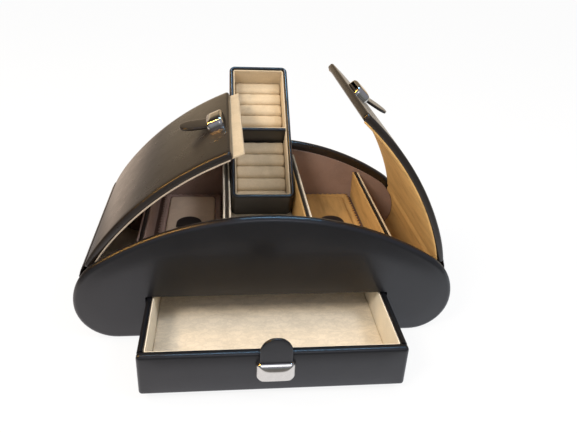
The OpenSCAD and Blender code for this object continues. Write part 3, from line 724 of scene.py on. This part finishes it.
class CASE_OT_lids(Operator):
    """Leather lid boards, their linings and piping, the hinge covers and the lip"""
    bl_idname = "case.lids"
    bl_label = "Lids"

    def execute(self, context):
        for name in ("left", "right"):
            turn = opened(name == "right")
            self.board(name, turn)
            self.lining(name, turn)
            self.piping(name, turn)
            self.hinge_covers(name, turn)
        self.lip(opened(False))
        return {"FINISHED"}

    def board(self, name, turn):
        """The padded board. Leather and wadding make it thicker than its core."""
        s = shape()
        core, sunk, padding = s.board / 2, 0.15 * MM, 0.55 * MM
        path, out = lid_path(core + sunk, 0.4 * MM, s.end_step)
        board = slab(name + "_lid_leather_and_reflection", path, out, ACROSS_LID, s.lid_width / 2,
                     core + padding, 2.2 * MM, crown=0.4 * MM, across=30, corner=3 * MM)
        dress(moved(board, turn), FINISH["lid"], name + "_lid", "leather", name + "_lid_shell")

    def lining(self, name, turn):
        """The velour inside a lid, which stops short of the free edge, and on the
        right lid by enough to clear the lip."""
        s = shape()
        half = s.lining / 2
        free_edge = 2.5 * MM if name == "left" else 12.7 * MM
        depth = s.board + half + 0.4 * MM
        path, out = lid_path(depth, free_edge, s.end_step + math.radians(1), 60)
        lining = slab(name + "_lid_velour", path, out, ACROSS_LID,
                      s.lid_width / 2 - s.board / 2, half, half, under=0.9 * MM, across=20)
        dress(moved(lining, turn), FINISH["brown" if name == "left" else "gold"],
              name + "_lid", "lining", name + "_lid_lining")

    def lip(self, turn):
        """The left lid's velour lip, which closes the joint between the lids."""
        s = shape()
        inner = s.arch_radius - s.board_inset - s.board - s.lining
        thick, rooted = 2.4 * MM, 2 * MM
        arch, _, _, _ = case_arcs()
        around = np.pi / 2 + np.linspace(-rooted, s.lip, 12) / inner
        heading = np.stack((np.cos(around), 0 * around, np.sin(around)), 1)
        path = np.array([0, 0, arch[1]]) + (inner + thick / 2) * heading
        lip = slab("left_lid_lip_velour", path, heading, ACROSS_LID,
                   s.lid_width / 2 - s.board / 2, thick / 2, 0.9 * MM, crown=0.3 * MM,
                   under=0.2 * MM)
        dress(moved(lip, turn), FINISH["lip"], "left_lid", "velour", "left_lid_lip")

    def piping(self, name, turn):
        """Velour piping on the near and far edges of a lid's inside, a tube
        along the lid's own path."""
        s = shape()
        reach = s.lid_width / 2 - 1.6 * MM
        for edge, end in (("near", -1), ("far", 1)):
            path, out = lid_path(s.board + 0.7 * MM, 3 * MM, s.end_step)
            path = path + np.array([0, end * reach, 0])
            tube = slab(f"{name}_lid_{edge}_piping", path, out, ACROSS_LID, 1.0 * MM,
                        0.9 * MM, 0.85 * MM, across=2)
            dress(moved(tube, turn), FINISH["piping" if name == "left" else "gold"],
                  name + "_lid", "velour")

    def hinge_covers(self, name, turn):
        """Strips that bridge the gap at a hinge, velour inside and leather
        outside. Each follows the cubic curve (1-f)^3 A + 3(1-f)^2 f (A+a) +
        3(1-f) f^2 (B-b) + f^3 B from the side board, A, to the lid, B, where a and b
        lie along the boards, and swells off it by bulge * sin(pi f)^2."""
        s = shape()
        _, centre, _, _ = case_arcs()
        flip = -1 if name == "left" else 1
        velour_skin = "velour" if name == "left" else "gold"
        thick, hold = 0.5 * MM, 0.35
        # Each row: side, depth, overlap in degrees, bulge, finish and slot.
        for kind, depth, overlap, bulge, skin, slot in (
                ("inner", s.board + s.lining * 0.4, 2.2, -1.7 * MM, velour_skin, "lining"),
                ("outer", -0.35 * MM, 1.6, 0.6 * MM, "lid", "leather")):
            radius = s.shoulder_radius - s.board_inset - depth
            step = s.end_step + math.radians(overlap)
            low, high = s.hinge_angle - step, s.hinge_angle + step
            start = Vector((flip * (centre[0] + radius * math.cos(low)), 0,
                            centre[1] + radius * math.sin(low)))
            leave = Vector((flip * -math.sin(low), 0, math.cos(low)))
            end = turn @ Vector((centre[0] + radius * math.cos(high), 0,
                                 centre[1] + radius * math.sin(high)))
            arrive = turn.to_3x3() @ Vector((-math.sin(high), 0, math.cos(high)))
            pull = (end - start).length * hold
            first, last = np.array(start), np.array(end)
            f = np.linspace(0, 1, 25)[:, None]
            path = ((1 - f) ** 3 * first + 3 * (1 - f) ** 2 * f * (first + pull * np.array(leave))
                    + 3 * (1 - f) * f**2 * (last - pull * np.array(arrive)) + f**3 * last)
            ahead = unit(np.gradient(path, axis=0))
            out = flip * np.stack((ahead[:, 2], 0 * f[:, 0], -ahead[:, 0]), 1)
            path = path + out * bulge * np.sin(np.pi * f) ** 2
            strip = slab(f"{name}_hinge_{kind}_cover", path, out, ACROSS_LID,
                         s.lid_width / 2 - 2.4 * MM, thick, thick * 0.9, across=20)
            strip.data.materials.append(FINISH[skin])
            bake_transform(strip)


def strap_piece(name, lift, root, reach, gap):
    """A leather strap from its root under the loop to its round tip. Its middle
    line lies at a gap over the face and bends up smoothly as
    tan(lift) * k * log(1 + exp((x - bend) / k))."""
    c = bpy.context.scene.clasp_shape
    bend, soft = c.loop_width / 4, 4 * MM
    x, width = round_tip(-root, reach, c.strap_width / 2, 24, 16)
    rise = math.tan(lift) * soft * np.log1p(np.exp(np.clip((x - bend) / soft, -30, 30)))
    rise = rise - rise[0]
    path = np.stack((x, 0 * x, gap + c.strap / 2 + rise), 1)
    normal = unit(np.stack((-np.gradient(rise, x), 0 * x, 1 + 0 * x), 1))
    return slab(name, path, normal, (0, 1, 0), width, c.strap / 2, 1.0 * MM, crown=0.15 * MM,
                across=8)


def loop_piece(name):
    """A domed metal loop over the strap. Its arch is |2y/L|^3.8 + (z/H)^2.6 = 1,
    drawn smaller by the wall for its inner side. Three planes cut it down towards
    its rims: z is the soft least of the arch and the planes, -k * log of the sum
    of exp(-z/k). Its corners in plan are quarter circles."""
    c = bpy.context.scene.clasp_shape
    wall, soft, corner = 1.2 * MM, 0.13 * MM, 3.4 * MM
    half, reach, top = c.loop_width / 2, c.loop_length / 2, c.loop_height
    arch = squared_arc(np.linspace(0, np.pi, 600), reach, top, 3.8, 2.6)
    arch = even_path(np.stack(arch, 1), 110)
    a, b, p, q = ring_profile(32).T
    rim = wall / 2 * 0.9
    x = a * (half - rim) + p * rim
    depth = 0.5 - (b * (wall / 2 - rim) + q * rim) / wall
    y = arch[:, :1] * (1 - depth * wall / reach)
    z = arch[:, 1:] * (1 - depth * wall / top)
    # Each plane: where it starts along the strap, and how steeply it falls.
    for start, fall in ((2.2 * MM, 0.36), (4.1 * MM, 0.93), (-5.9 * MM, -1.5)):
        run = (x - start) * np.sign(fall)
        plane = top - depth * wall - abs(fall) * run
        z = -soft * np.logaddexp(-z / soft, -plane / soft)
    z = np.maximum(z, 0)
    over = np.clip(np.abs(x) - (half - corner), 0, corner)
    y = y * (1 - (corner - np.sqrt(corner**2 - over**2)) / reach)
    points = np.stack((x + 0 * y, y, z), -1)
    return add_mesh(name, points, grid_faces(len(arch), len(a)), 50)


class CASE_OT_clasps(Operator):
    """Leather straps and metal loops on the lids and the drawer"""
    bl_idname = "case.clasps"
    bl_label = "Straps and loops"

    def execute(self, context):
        c, t = context.scene.clasp_shape, context.scene.tray_shape
        low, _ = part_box("drawer_front")
        face = (Matrix.Translation((0, low.y, low.z + t.clasp_height))
                @ Matrix(((0, -1, 0), (0, 0, -1), (1, 0, 0))).to_4x4())
        close = 0.3 * MM
        # The drawer's tab passes over the padded panel when the drawer is shut.
        clear = 1.45 * MM
        for body, strap_node, turn, lift, reach, gap, skin in (
                ("left_lid", "left_lid_strap", on_lid(False), c.left_lift, c.reach, close, "lid"),
                ("right_lid", "right_lid_strap", on_lid(True), c.right_lift, c.reach, close,
                 "lid"),
                ("drawer", "drawer_tab", face, 0.0, t.tab_top - t.clasp_height, clear,
                 "leather")):
            strap = strap_piece(strap_node + "_leather", lift, c.loop_width / 2, reach, gap)
            dress(moved(strap, turn), FINISH[skin], body, "leather", strap_node)
            loop = loop_piece(body + "_clasp_metal")
            dress(moved(loop, turn), FINISH["nickel"], body, "clasp", body + "_clasp")
        return {"FINISHED"}


def rim_path(low, high, corner, step=5 * MM):
    """A closed rectangle with quarter-circle corners in plan, and its outward
    normals. Its straight sides are split evenly, in steps of at least step."""
    quarter = np.linspace(0, np.pi / 2, 7)
    turn = np.concatenate([quarter + k * np.pi / 2 for k in range(4)])
    out = np.stack((np.cos(turn), np.sin(turn)), 1)
    right, far, left, near = (high[0] - corner, high[1] - corner,
                              low[0] + corner, low[1] + corner)
    centre = np.array([(right, far), (left, far), (left, near), (right, near)])
    points = np.repeat(centre, len(quarter), 0) + corner * out
    reach = np.roll(points, -1, axis=0) - points
    bend = np.roll(out, -1, axis=0) - out
    parts = np.maximum(1, (np.linalg.norm(reach, axis=1) / step).astype(int))
    at = np.repeat(np.arange(len(points)), parts)
    f = np.concatenate([np.arange(count) / count for count in parts])[:, None]
    return points[at] + f * reach[at], unit(out[at] + f * bend[at])


def wall_lining(name, low, high, bottom, top, thick, corner):
    """Velour round the inside of a tray's walls, with a soft rolled top edge."""
    inset = thick / 2
    flat, out = rim_path((low[0] + inset, low[1] + inset), (high[0] - inset, high[1] - inset),
                         corner)
    path = np.column_stack((flat, np.full(len(flat), (bottom + top) / 2)))
    normal = np.column_stack((out, np.zeros(len(out))))
    return slab(name, path, normal, (0, 0, 1), (top - bottom) / 2, inset, inset * 0.98,
                under=0.15 * MM, closed=True, across=8)


class CASE_OT_drawer(Operator):
    """Padded drawer front, its velour walls and its crushed velour floor"""
    bl_idname = "case.drawer"
    bl_label = "Drawer"

    def execute(self, context):
        low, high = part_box("drawer_front")
        front = plate("drawer_front_leather", low, high, -2, 2.6 * MM, crown=0.9 * MM,
                      stations=60, across=24)
        dress(front, FINISH["leather"], "drawer", "leather", "drawer_front")
        low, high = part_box("drawer_lining")
        rolled_over = 0.6 * MM
        walls = wall_lining("drawer_wall_velour", low, high, low.z, high.z + rolled_over,
                            shape().lining, 1.5 * MM)
        dress(walls, FINISH["velour"], "drawer", "velour", "drawer_lining")
        low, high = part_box("drawer_floor_pad")
        pad = plate("drawer_floor_velour", low, high, 3, 1.4 * MM, crown=0.5 * MM,
                    stations=90, across=70, wave=waves(3, 26 * MM, 0.25 * MM))
        dress(pad, FINISH["crushed"], "drawer", "velour", "drawer_floor_pad")
        return {"FINISHED"}


def pinked_border(name, low, high, border, tooth, depth, thick):
    """A thin border of cloth round a pad, with its outer edge cut in teeth: the
    outline steps in and out by the teeth's depth every half tooth. From the
    seam, f = 0, to the teeth, f = 1, it climbs as 1 - (1 - f)^5 and arches by
    0.8 * thick * sin(pi f)."""
    corners = np.array([(low[0], low[1]), (high[0], low[1]), (high[0], high[1]),
                        (low[0], high[1])])
    inwards = np.array([(0, 1), (-1, 0), (0, -1), (1, 0)])
    ring = []
    for start, end, inward in zip(corners, np.roll(corners, -1, axis=0), inwards):
        half_teeth = 2 * int(round(np.abs(end - start).max() / tooth))
        count = np.arange(half_teeth)[:, None]
        ring.append(start + count / half_teeth * (end - start) + count % 2 * depth * inward)
    ring = np.concatenate(ring)
    inner = np.clip(ring, np.array(low[:2]) + border, np.array(high[:2]) - border)
    f = np.array([0, 0.06, 0.14, 0.25, 0.4, 0.6, 0.8, 1])
    flat = inner + f[:, None, None] * (ring - inner)
    climb = (high[2] - low[2] - thick) * (1 - (1 - f) ** 5) + 0.8 * thick * np.sin(np.pi * f)
    rise = low[2] + climb[:, None] + 0 * flat[..., 0]
    under = np.dstack((flat, rise))
    upper = np.dstack((flat, rise + thick))
    return add_mesh(name, np.concatenate((under, upper[::-1])),
                    grid_faces(2 * len(f), len(ring), closed_rows=True), 30)


class CASE_OT_compartments(Operator):
    """Velour on the dividers, the well and the two lift-out pads with their
    pinked edges and leather tabs"""
    bl_idname = "case.compartments"
    bl_label = "Compartments"

    def execute(self, context):
        for side, tint in (("left", "brown"), ("right", "gold")):
            for place in ("outer", "center"):
                for face in ("left", "right"):
                    self.divider_velour(side, place, face, tint)
            self.pad(side, tint)
            self.pad_tab(side)
        low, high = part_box("well_pad")
        well = plate("well_velour", low, high, 3, 2 * MM, crown=0.3 * MM, across=12)
        dress(well, FINISH["velour"], "case", "velour", "well_pad")
        return {"FINISHED"}

    def divider_velour(self, side, place, face, tint):
        """The velour on one face of a divider, down to the floor, or to the
        lower end of its own cloth on a face that looks at the case's side."""
        node = f"{side}_{place}_divider"
        low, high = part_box(node + "_velour")
        core_low, core_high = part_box(node)
        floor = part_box("floor_board")[1].z
        outer = place == "outer" and face == side
        if place == "center":
            # The right centre divider's face towards the well takes the golden velour. It is a
            # darker, warmer copy of the beige on its other face: painted warm shade.
            skin = "gold" if (side, face) == ("right", "left") else "velour"
        else:
            skin = "rolls" if outer and side == "right" else tint
        x0, x1, out = ((low.x, core_low.x, -1) if face == "left"
                       else (core_high.x, high.x, 1))
        cloth = plate(f"{node}_{face}_velour", (x0, low.y, low.z if outer else floor),
                      (x1, high.y, core_high.z - 0.4 * MM), out, 0.75 * MM, stations=30,
                      across=8, wave=waves(len(node), 30 * MM, 0.12 * MM))
        dress(cloth, FINISH[skin], "case", "velour", node + "_velour")

    def pad(self, side, tint):
        """A lift-out pad: its cushion, the seam round it and its pinked border.
        It lies away from the outer divider."""
        low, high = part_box(side + "_floor_pad")
        body, rim, slack = side + "_pad", 6.4 * MM, 0.6 * MM
        outer_slack, inner_slack = 3.2 * MM, 1.2 * MM
        slacks = (outer_slack, inner_slack) if side == "left" else (inner_slack, outer_slack)
        edge_low = Vector((low.x + slacks[0], low.y + slack, low.z + slack))
        edge_high = Vector((high.x - slacks[1], high.y - slack, high.z - 0.4 * MM))
        border = pinked_border(side + "_pad_pinked_edge", edge_low, edge_high, rim,
                               5.2 * MM, 2.2 * MM, 0.8 * MM)
        inner_low = (edge_low.x + rim, edge_low.y + rim, low.z)
        inner_high = (edge_high.x - rim, edge_high.y - rim, high.z)
        cushion = plate(side + "_pad_velour", inner_low, inner_high, 3, 2.1 * MM,
                        crown=1.1 * MM, stations=60, across=30,
                        wave=waves(5, 34 * MM, 0.15 * MM), corner=4 * MM)
        flat, out = rim_path(inner_low, inner_high, 1 * MM)
        level = 0 * flat[:, :1]
        seam = slab(side + "_pad_seam", np.hstack((flat, level + low.z + 1.5 * MM)),
                    np.hstack((level, level, level + 1)), np.hstack((out, level)),
                    0.9 * MM, 0.5 * MM, 0.4 * MM, closed=True, across=2)
        # The seam takes the dark bed velour: painted shade in the channel round the cushion.
        for piece, skin in ((cushion, "pad" if side == "left" else "gold"), (border, tint),
                            (seam, "bed")):
            dress(piece, FINISH[skin], body, "velour", side + "_floor_pad")

    def pad_tab(self, side):
        """The leather tab that lifts a pad, with a round tip."""
        low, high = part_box(side + "_pad_tab")
        half, middle, thick = (high.x - low.x) / 2, (high.x + low.x) / 2, (high.z - low.z) / 2
        y, width = round_tip(low.y, high.y, half, 8, 14)
        path = np.stack((np.full(len(y), middle), y, np.full(len(y), low.z + thick)), 1)
        normal = np.repeat([[0.0, 0.0, 1.0]], len(y), 0)
        tab = slab(side + "_pad_tab_leather", path, normal, (1, 0, 0), width, thick, 0.9 * MM,
                   crown=0.4 * MM, across=8)
        dress(tab, FINISH["leather"], side + "_pad", "leather", side + "_pad_tab")


def node_points(node):
    """The points of a CAD node's mesh, as rows."""
    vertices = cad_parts[node].data.vertices
    points = np.empty(len(vertices) * 3)
    vertices.foreach_get("co", points)
    return points.reshape(-1, 3)


def in_ring_box():
    """Frame of the ring box: its near bottom edge at the origin, +y along it."""
    points = node_points("ring_box_shell")
    level = points[:, 2].round(5)
    near = points[np.lexsort((points[:, 1], level))[0]]
    tilt = bpy.context.scene.tray_shape.tilt
    return Matrix.Translation((0, near[1], near[2])) @ Matrix.Rotation(tilt, 4, "X")


def box_within(node, turn):
    """The lowest and highest corner of a CAD node in a turned frame."""
    points = node_points(node)
    points = np.column_stack((points, np.ones(len(points)))) @ np.array(turn.inverted()).T
    return points[:, :3].min(0), points[:, :3].max(0)


class CASE_OT_ring_box(Operator):
    """Velour lining and soft rolls of the lift-out ring box"""
    bl_idname = "case.ring_box"
    bl_label = "Ring box"

    def execute(self, context):
        s, turn = shape(), in_ring_box()
        low, high = box_within("ring_box_lining", turn)
        walls = wall_lining("ring_box_wall_velour", low, high, low[2], high[2] + 0.5 * MM,
                            s.lining, 1.6 * MM)
        low, high = box_within("ring_box_partition", turn)
        face = plate("ring_box_partition_velour", (low[0], high[1], low[2]),
                     (high[0], high[1] + s.lining, high[2] - 1.2 * MM), 2, 0.55 * MM)
        for piece in (walls, face):
            dress(moved(piece, turn), FINISH["rolls"], "ring_box", "velour", "ring_box_lining")
        for node in ("near_ring_rolls", "far_ring_rolls"):
            self.rolls(node, *box_within(node, turn), turn)
        return {"FINISHED"}

    def rolls(self, node, low, high, turn):
        """Five soft rolls, each a flattened cushion of section
        |y/Y|^3.2 + |z/Z|^2.6 = 1 whose ends tuck in as sqrt(1 - |x/X|^30)."""
        count = 5
        pitch = (high[1] - low[1]) / count
        x = np.sin(np.linspace(-np.pi / 2, np.pi / 2, 60))
        tuck = np.sqrt(np.clip(1 - np.abs(x) ** 30, 0, 1))[:, None]
        y, z = squared_arc(np.linspace(0, 2 * np.pi, 40, endpoint=False), pitch / 2 * 0.995,
                           (high[2] - low[2]) / 2, 3.2, 2.6)
        across = x[:, None] * (high[0] - low[0]) / 2 + 0 * y
        sag = waves(11, 9 * MM, 0.16 * MM)
        for i in range(count):
            bump = sag(across + i * pitch * 3, z + 0 * across)
            points = np.stack((across, low[1] + (i + 0.5) * pitch + tuck * y,
                               (low[2] + high[2]) / 2 + tuck * (z + bump)), -1)
            roll = add_mesh(f"{node}_{i + 1}_velour", points, grid_faces(len(x), len(y)), 60)
            dress(moved(roll, turn), FINISH["rolls"], "ring_box", "velour", node)


def turned_axes(right, up, back):
    """A rotation whose own axes X, Y and Z lie along three directions."""
    return Matrix((right, up, back)).transposed()


def area_light(name, place, size, power, tint, lights):
    """A rectangular lamp that looks at the case, with its longer side level along
    X. It lights only matt surfaces or only draws highlights, "matt" or "gloss"."""
    lamp = bpy.data.lights.new(name, "AREA")
    lamp.shape, lamp.size, lamp.size_y = "RECTANGLE", size[0], size[1]
    lamp.energy, lamp.color = power, linear(tint)
    holder = bpy.data.objects.new(name, lamp)
    aim = Vector((0, 0, 0.05))
    back = (Vector(place) - aim).normalized()
    level = (Vector((1, 0, 0)) - back * back.x).normalized()
    holder.matrix_world = (Matrix.Translation(place)
                           @ turned_axes(level, back.cross(level), back).to_4x4())
    holder.visible_diffuse = lights == "matt"
    holder.visible_glossy = lights == "gloss"
    bpy.context.scene.collection.objects.link(holder)


def hex_rgba(code):
    """A node colour from an sRGB hex code."""
    return rgba(linear(code))


def ray_kinds(material):
    """Two outputs: 1 on rays from the camera, and 1 on rays that metal and glass
    reflect or let through."""
    path = add_node(material, "ShaderNodeLightPath")
    mirrored = add_node(material, "ShaderNodeMath", [
        (path.outputs["Is Glossy Ray"], 0), (path.outputs["Is Transmission Ray"], 1)],
        operation="MAXIMUM")
    return path.outputs["Is Camera Ray"], mirrored.outputs[0]


class CASE_OT_stage(Operator):
    """Camera, pale floor and soft studio light"""
    bl_idname = "case.stage"
    bl_label = "Stage"

    def execute(self, context):
        self.set_camera(context.scene)
        self.lay_floor()
        self.light_room(context.scene)
        area_light("warm_key", (-0.78, 0.0, 0.95), (0.16, 0.16), 4.0, "#ffdcae", "matt")
        area_light("front_key", (-0.6, -0.75, 0.92), (0.3, 0.25), 8.0, "#fff2e4", "matt")
        area_light("cool_key", (0.6, -0.5, 0.95), (0.3, 0.3), 4.5, "#eef2ff", "matt")
        area_light("front_strip", (0.1, -1.05, 0.9), (0.6, 0.3), 1.0, "#f4f8ff", "gloss")
        area_light("warm_strip", (-0.8, 0.1, 1.0), (0.8, 0.06), 8.5, "#ffbe60", "gloss")
        area_light("cool_strip", (0.1, 0.12, 1.1), (0.55, 0.06), 4.2, "#98d2ff", "gloss")
        context.scene.view_settings.view_transform = "Standard"
        return {"FINISHED"}

    def set_camera(self, scene):
        """A camera in front of the case and above it, turned by three angles."""
        camera = bpy.data.objects.new("case_camera", bpy.data.cameras.new("case_camera"))
        scene.collection.objects.link(camera)
        camera.data.lens, camera.data.sensor_width = 36.38, 36.0
        camera.data.clip_start = 10 * MM
        camera.location = (-0.0354, -0.4639, 0.3055)
        yaw, pitch, roll = (math.radians(a) for a in (7.24, 27.47, 2.96))
        ahead = Vector((math.sin(yaw) * math.cos(pitch), math.cos(yaw) * math.cos(pitch),
                        -math.sin(pitch)))
        right = Vector((math.cos(yaw), -math.sin(yaw), 0))
        up = right.cross(ahead)
        right, up = (right * math.cos(roll) + up * math.sin(roll),
                     up * math.cos(roll) - right * math.sin(roll))
        camera.rotation_euler = turned_axes(right, up, -ahead).to_euler()
        scene.camera = camera

    def lay_floor(self):
        """A pale matt floor that is nearly white to the camera. In reflections it is
        bright only close in front of the case, darkens under it as a painted shadow
        of the case, and meets a warm wall behind; it also darkens to the left."""
        floor, shader, _ = blank("white_floor")
        shader.inputs["Base Color"].default_value = grey(0.86)
        shader.inputs["Roughness"].default_value = 0.9
        seen_by_camera, mirrored = ray_kinds(floor)
        shown = add_node(floor, "ShaderNodeMath", [(seen_by_camera, 0), (mirrored, 1)],
                         operation="MAXIMUM")
        keep = add_node(floor, "ShaderNodeMath", [(shown.outputs[0], 0)],
                        operation="MULTIPLY")
        keep.inputs[1].default_value = 0.88
        spot = add_node(floor, "ShaderNodeTexCoord").outputs["Object"]
        place = add_node(floor, "ShaderNodeSeparateXYZ", [(spot, "Vector")])
        near, far = -0.5, 1.5
        depth = add_node(floor, "ShaderNodeMapRange", [(place.outputs["Y"], "Value")],
                         From_Min=near, From_Max=far)
        # The dim stop under the case is a painted shadow of the case, seen only in reflections.
        tones = ((-0.36, grey(0.03)), (-0.26, grey(0.08)), (-0.2, grey(1.0)),
                 (-0.1, grey(1.0)), (0.06, grey(0.2)), (0.16, hex_rgba("#867c6f")),
                 (0.28, hex_rgba("#ffecd4")))
        room_and_painted_shadow = add_node(floor, "ShaderNodeValToRGB", [(depth.outputs[0], "Fac")],
                        stops=[((y - near) / (far - near), tone) for y, tone in tones])
        left, right = -0.6, 0.3
        across = add_node(floor, "ShaderNodeMapRange", [(place.outputs["X"], "Value")],
                          From_Min=left, From_Max=right)
        tones = ((-0.6, grey(0.15)), (-0.33, hex_rgba("#fff3f0")),
                 (0.003, hex_rgba("#f6f7ff")), (0.3, hex_rgba("#eff6ff")))
        tint = add_node(floor, "ShaderNodeValToRGB", [(across.outputs[0], "Fac")],
                        stops=[((x - left) / (right - left), tone) for x, tone in tones])
        sheet = add_node(floor, "ShaderNodeMix", [(room_and_painted_shadow.outputs[0], 6), (tint.outputs[0], 7)],
                         data_type="RGBA", blend_type="MULTIPLY", Factor=1.0)
        white = add_node(floor, "ShaderNodeMix", [(mirrored, 0), (sheet.outputs[2], 7)],
                         data_type="RGBA")
        white.inputs[6].default_value = grey(1.0)
        glow = add_node(floor, "ShaderNodeEmission", [(white.outputs[2], "Color")])
        mixed = add_node(floor, "ShaderNodeMixShader", [
            (keep.outputs[0], 0), (shader.outputs[0], 1), (glow.outputs[0], 2)])
        nodes = floor.node_tree.nodes
        out = next(node for node in nodes if node.type == "OUTPUT_MATERIAL")
        floor.node_tree.links.new(mixed.outputs[0], out.inputs["Surface"])
        half = 6.0
        ground = add_mesh("stage_floor", [(-half, -half, 0), (half, -half, 0),
                                          (half, half, 0), (-half, half, 0)], [[0, 1, 2, 3]])
        ground.data.materials.append(floor)

    def light_room(self, scene):
        """A world that is white to the camera and an even soft light on matt
        surfaces. Polished and coated surfaces show the room: a warm pale wall at
        the back that fades upwards and to the left, and a dim cool side in front."""
        world = bpy.data.worlds.new("studio")
        world.use_nodes = True
        scene.world = world
        seen_by_camera, mirrored = ray_kinds(world)
        ray = add_node(world, "ShaderNodeTexCoord").outputs["Generated"]
        heading = add_node(world, "ShaderNodeSeparateXYZ", [(ray, "Vector")])
        rise = add_node(world, "ShaderNodeValToRGB", [(heading.outputs["Z"], "Fac")],
                        stops=((0.0, hex_rgba("#ffeacb")), (0.1, hex_rgba("#f3d8b5")),
                               (0.22, hex_rgba("#978469")), (0.45, hex_rgba("#5d5955"))))
        turned = add_node(world, "ShaderNodeMapRange", [(heading.outputs["X"], "Value")],
                          From_Min=-0.65, From_Max=-0.15)
        dimmed = add_node(world, "ShaderNodeValToRGB", [(turned.outputs[0], "Fac")],
                          stops=((0.0, grey(0.06)), (0.45, grey(0.3)), (0.85, grey(1.0))))
        wall = add_node(world, "ShaderNodeMix", [(rise.outputs[0], 6), (dimmed.outputs[0], 7)],
                        data_type="RGBA", blend_type="MULTIPLY", Factor=1.0)
        front = add_node(world, "ShaderNodeValToRGB", [(heading.outputs["Z"], "Fac")],
                         stops=((0.0, hex_rgba("#7c8181")), (0.5, hex_rgba("#8e90a0"))))
        side = add_node(world, "ShaderNodeVectorMath", [(ray, 0)], operation="DOT_PRODUCT")
        side.inputs[1].default_value = (-0.5, 0.85, 0)
        behind = add_node(world, "ShaderNodeMapRange", [(side.outputs["Value"], "Value")],
                          From_Min=-0.15, From_Max=0.25)
        room = add_node(world, "ShaderNodeMix", [
            (behind.outputs[0], 0), (front.outputs[0], 6), (wall.outputs[2], 7)],
            data_type="RGBA")
        soft = add_node(world, "ShaderNodeMix", [(seen_by_camera, 0)], data_type="RGBA")
        soft.inputs[6].default_value, soft.inputs[7].default_value = grey(0.9), grey(1.0)
        light = add_node(world, "ShaderNodeMix", [
            (mirrored, 0), (soft.outputs[2], 6), (room.outputs[2], 7)], data_type="RGBA")
        sky = world.node_tree.nodes["Background"]
        world.node_tree.links.new(light.outputs[2], sky.inputs["Color"])
        sky.inputs["Strength"].default_value = 1.0


class CASE_PT_tools(Panel):
    """Lists the pieces of the case"""
    bl_idname = "CASE_PT_tools"
    bl_label = "Jewellery case"
    bl_space_type = "VIEW_3D"
    bl_region_type = "UI"
    bl_category = "Jewellery case"

    def draw(self, context):
        for operator in OPERATORS:
            self.layout.operator(operator.bl_idname)
        for group in ("case_shape", "clasp_shape", "tray_shape", "case_finish"):
            settings = getattr(context.scene, group)
            for name in settings.__annotations__:
                self.layout.prop(settings, name)


GROUPS = {"case_shape": CaseShape, "clasp_shape": ClaspShape, "tray_shape": TrayShape,
          "case_finish": CaseFinish}
OPERATORS = (CASE_OT_finishes, CASE_OT_panels, CASE_OT_lids, CASE_OT_clasps, CASE_OT_drawer,
             CASE_OT_compartments, CASE_OT_ring_box, CASE_OT_stage)


def register():
    for kind in (*GROUPS.values(), *OPERATORS, CASE_PT_tools):
        bpy.utils.register_class(kind)
    for name, kind in GROUPS.items():
        setattr(bpy.types.Scene, name, PointerProperty(type=kind))


def unregister():
    for name in GROUPS:
        delattr(bpy.types.Scene, name)
    for kind in (CASE_PT_tools, *reversed(OPERATORS), *GROUPS.values()):
        bpy.utils.unregister_class(kind)


def main():
    register()
    for operator in OPERATORS:
        group, name = operator.bl_idname.split(".")
        getattr(getattr(bpy.ops, group), name)()


if __name__ == "__main__":
    main()
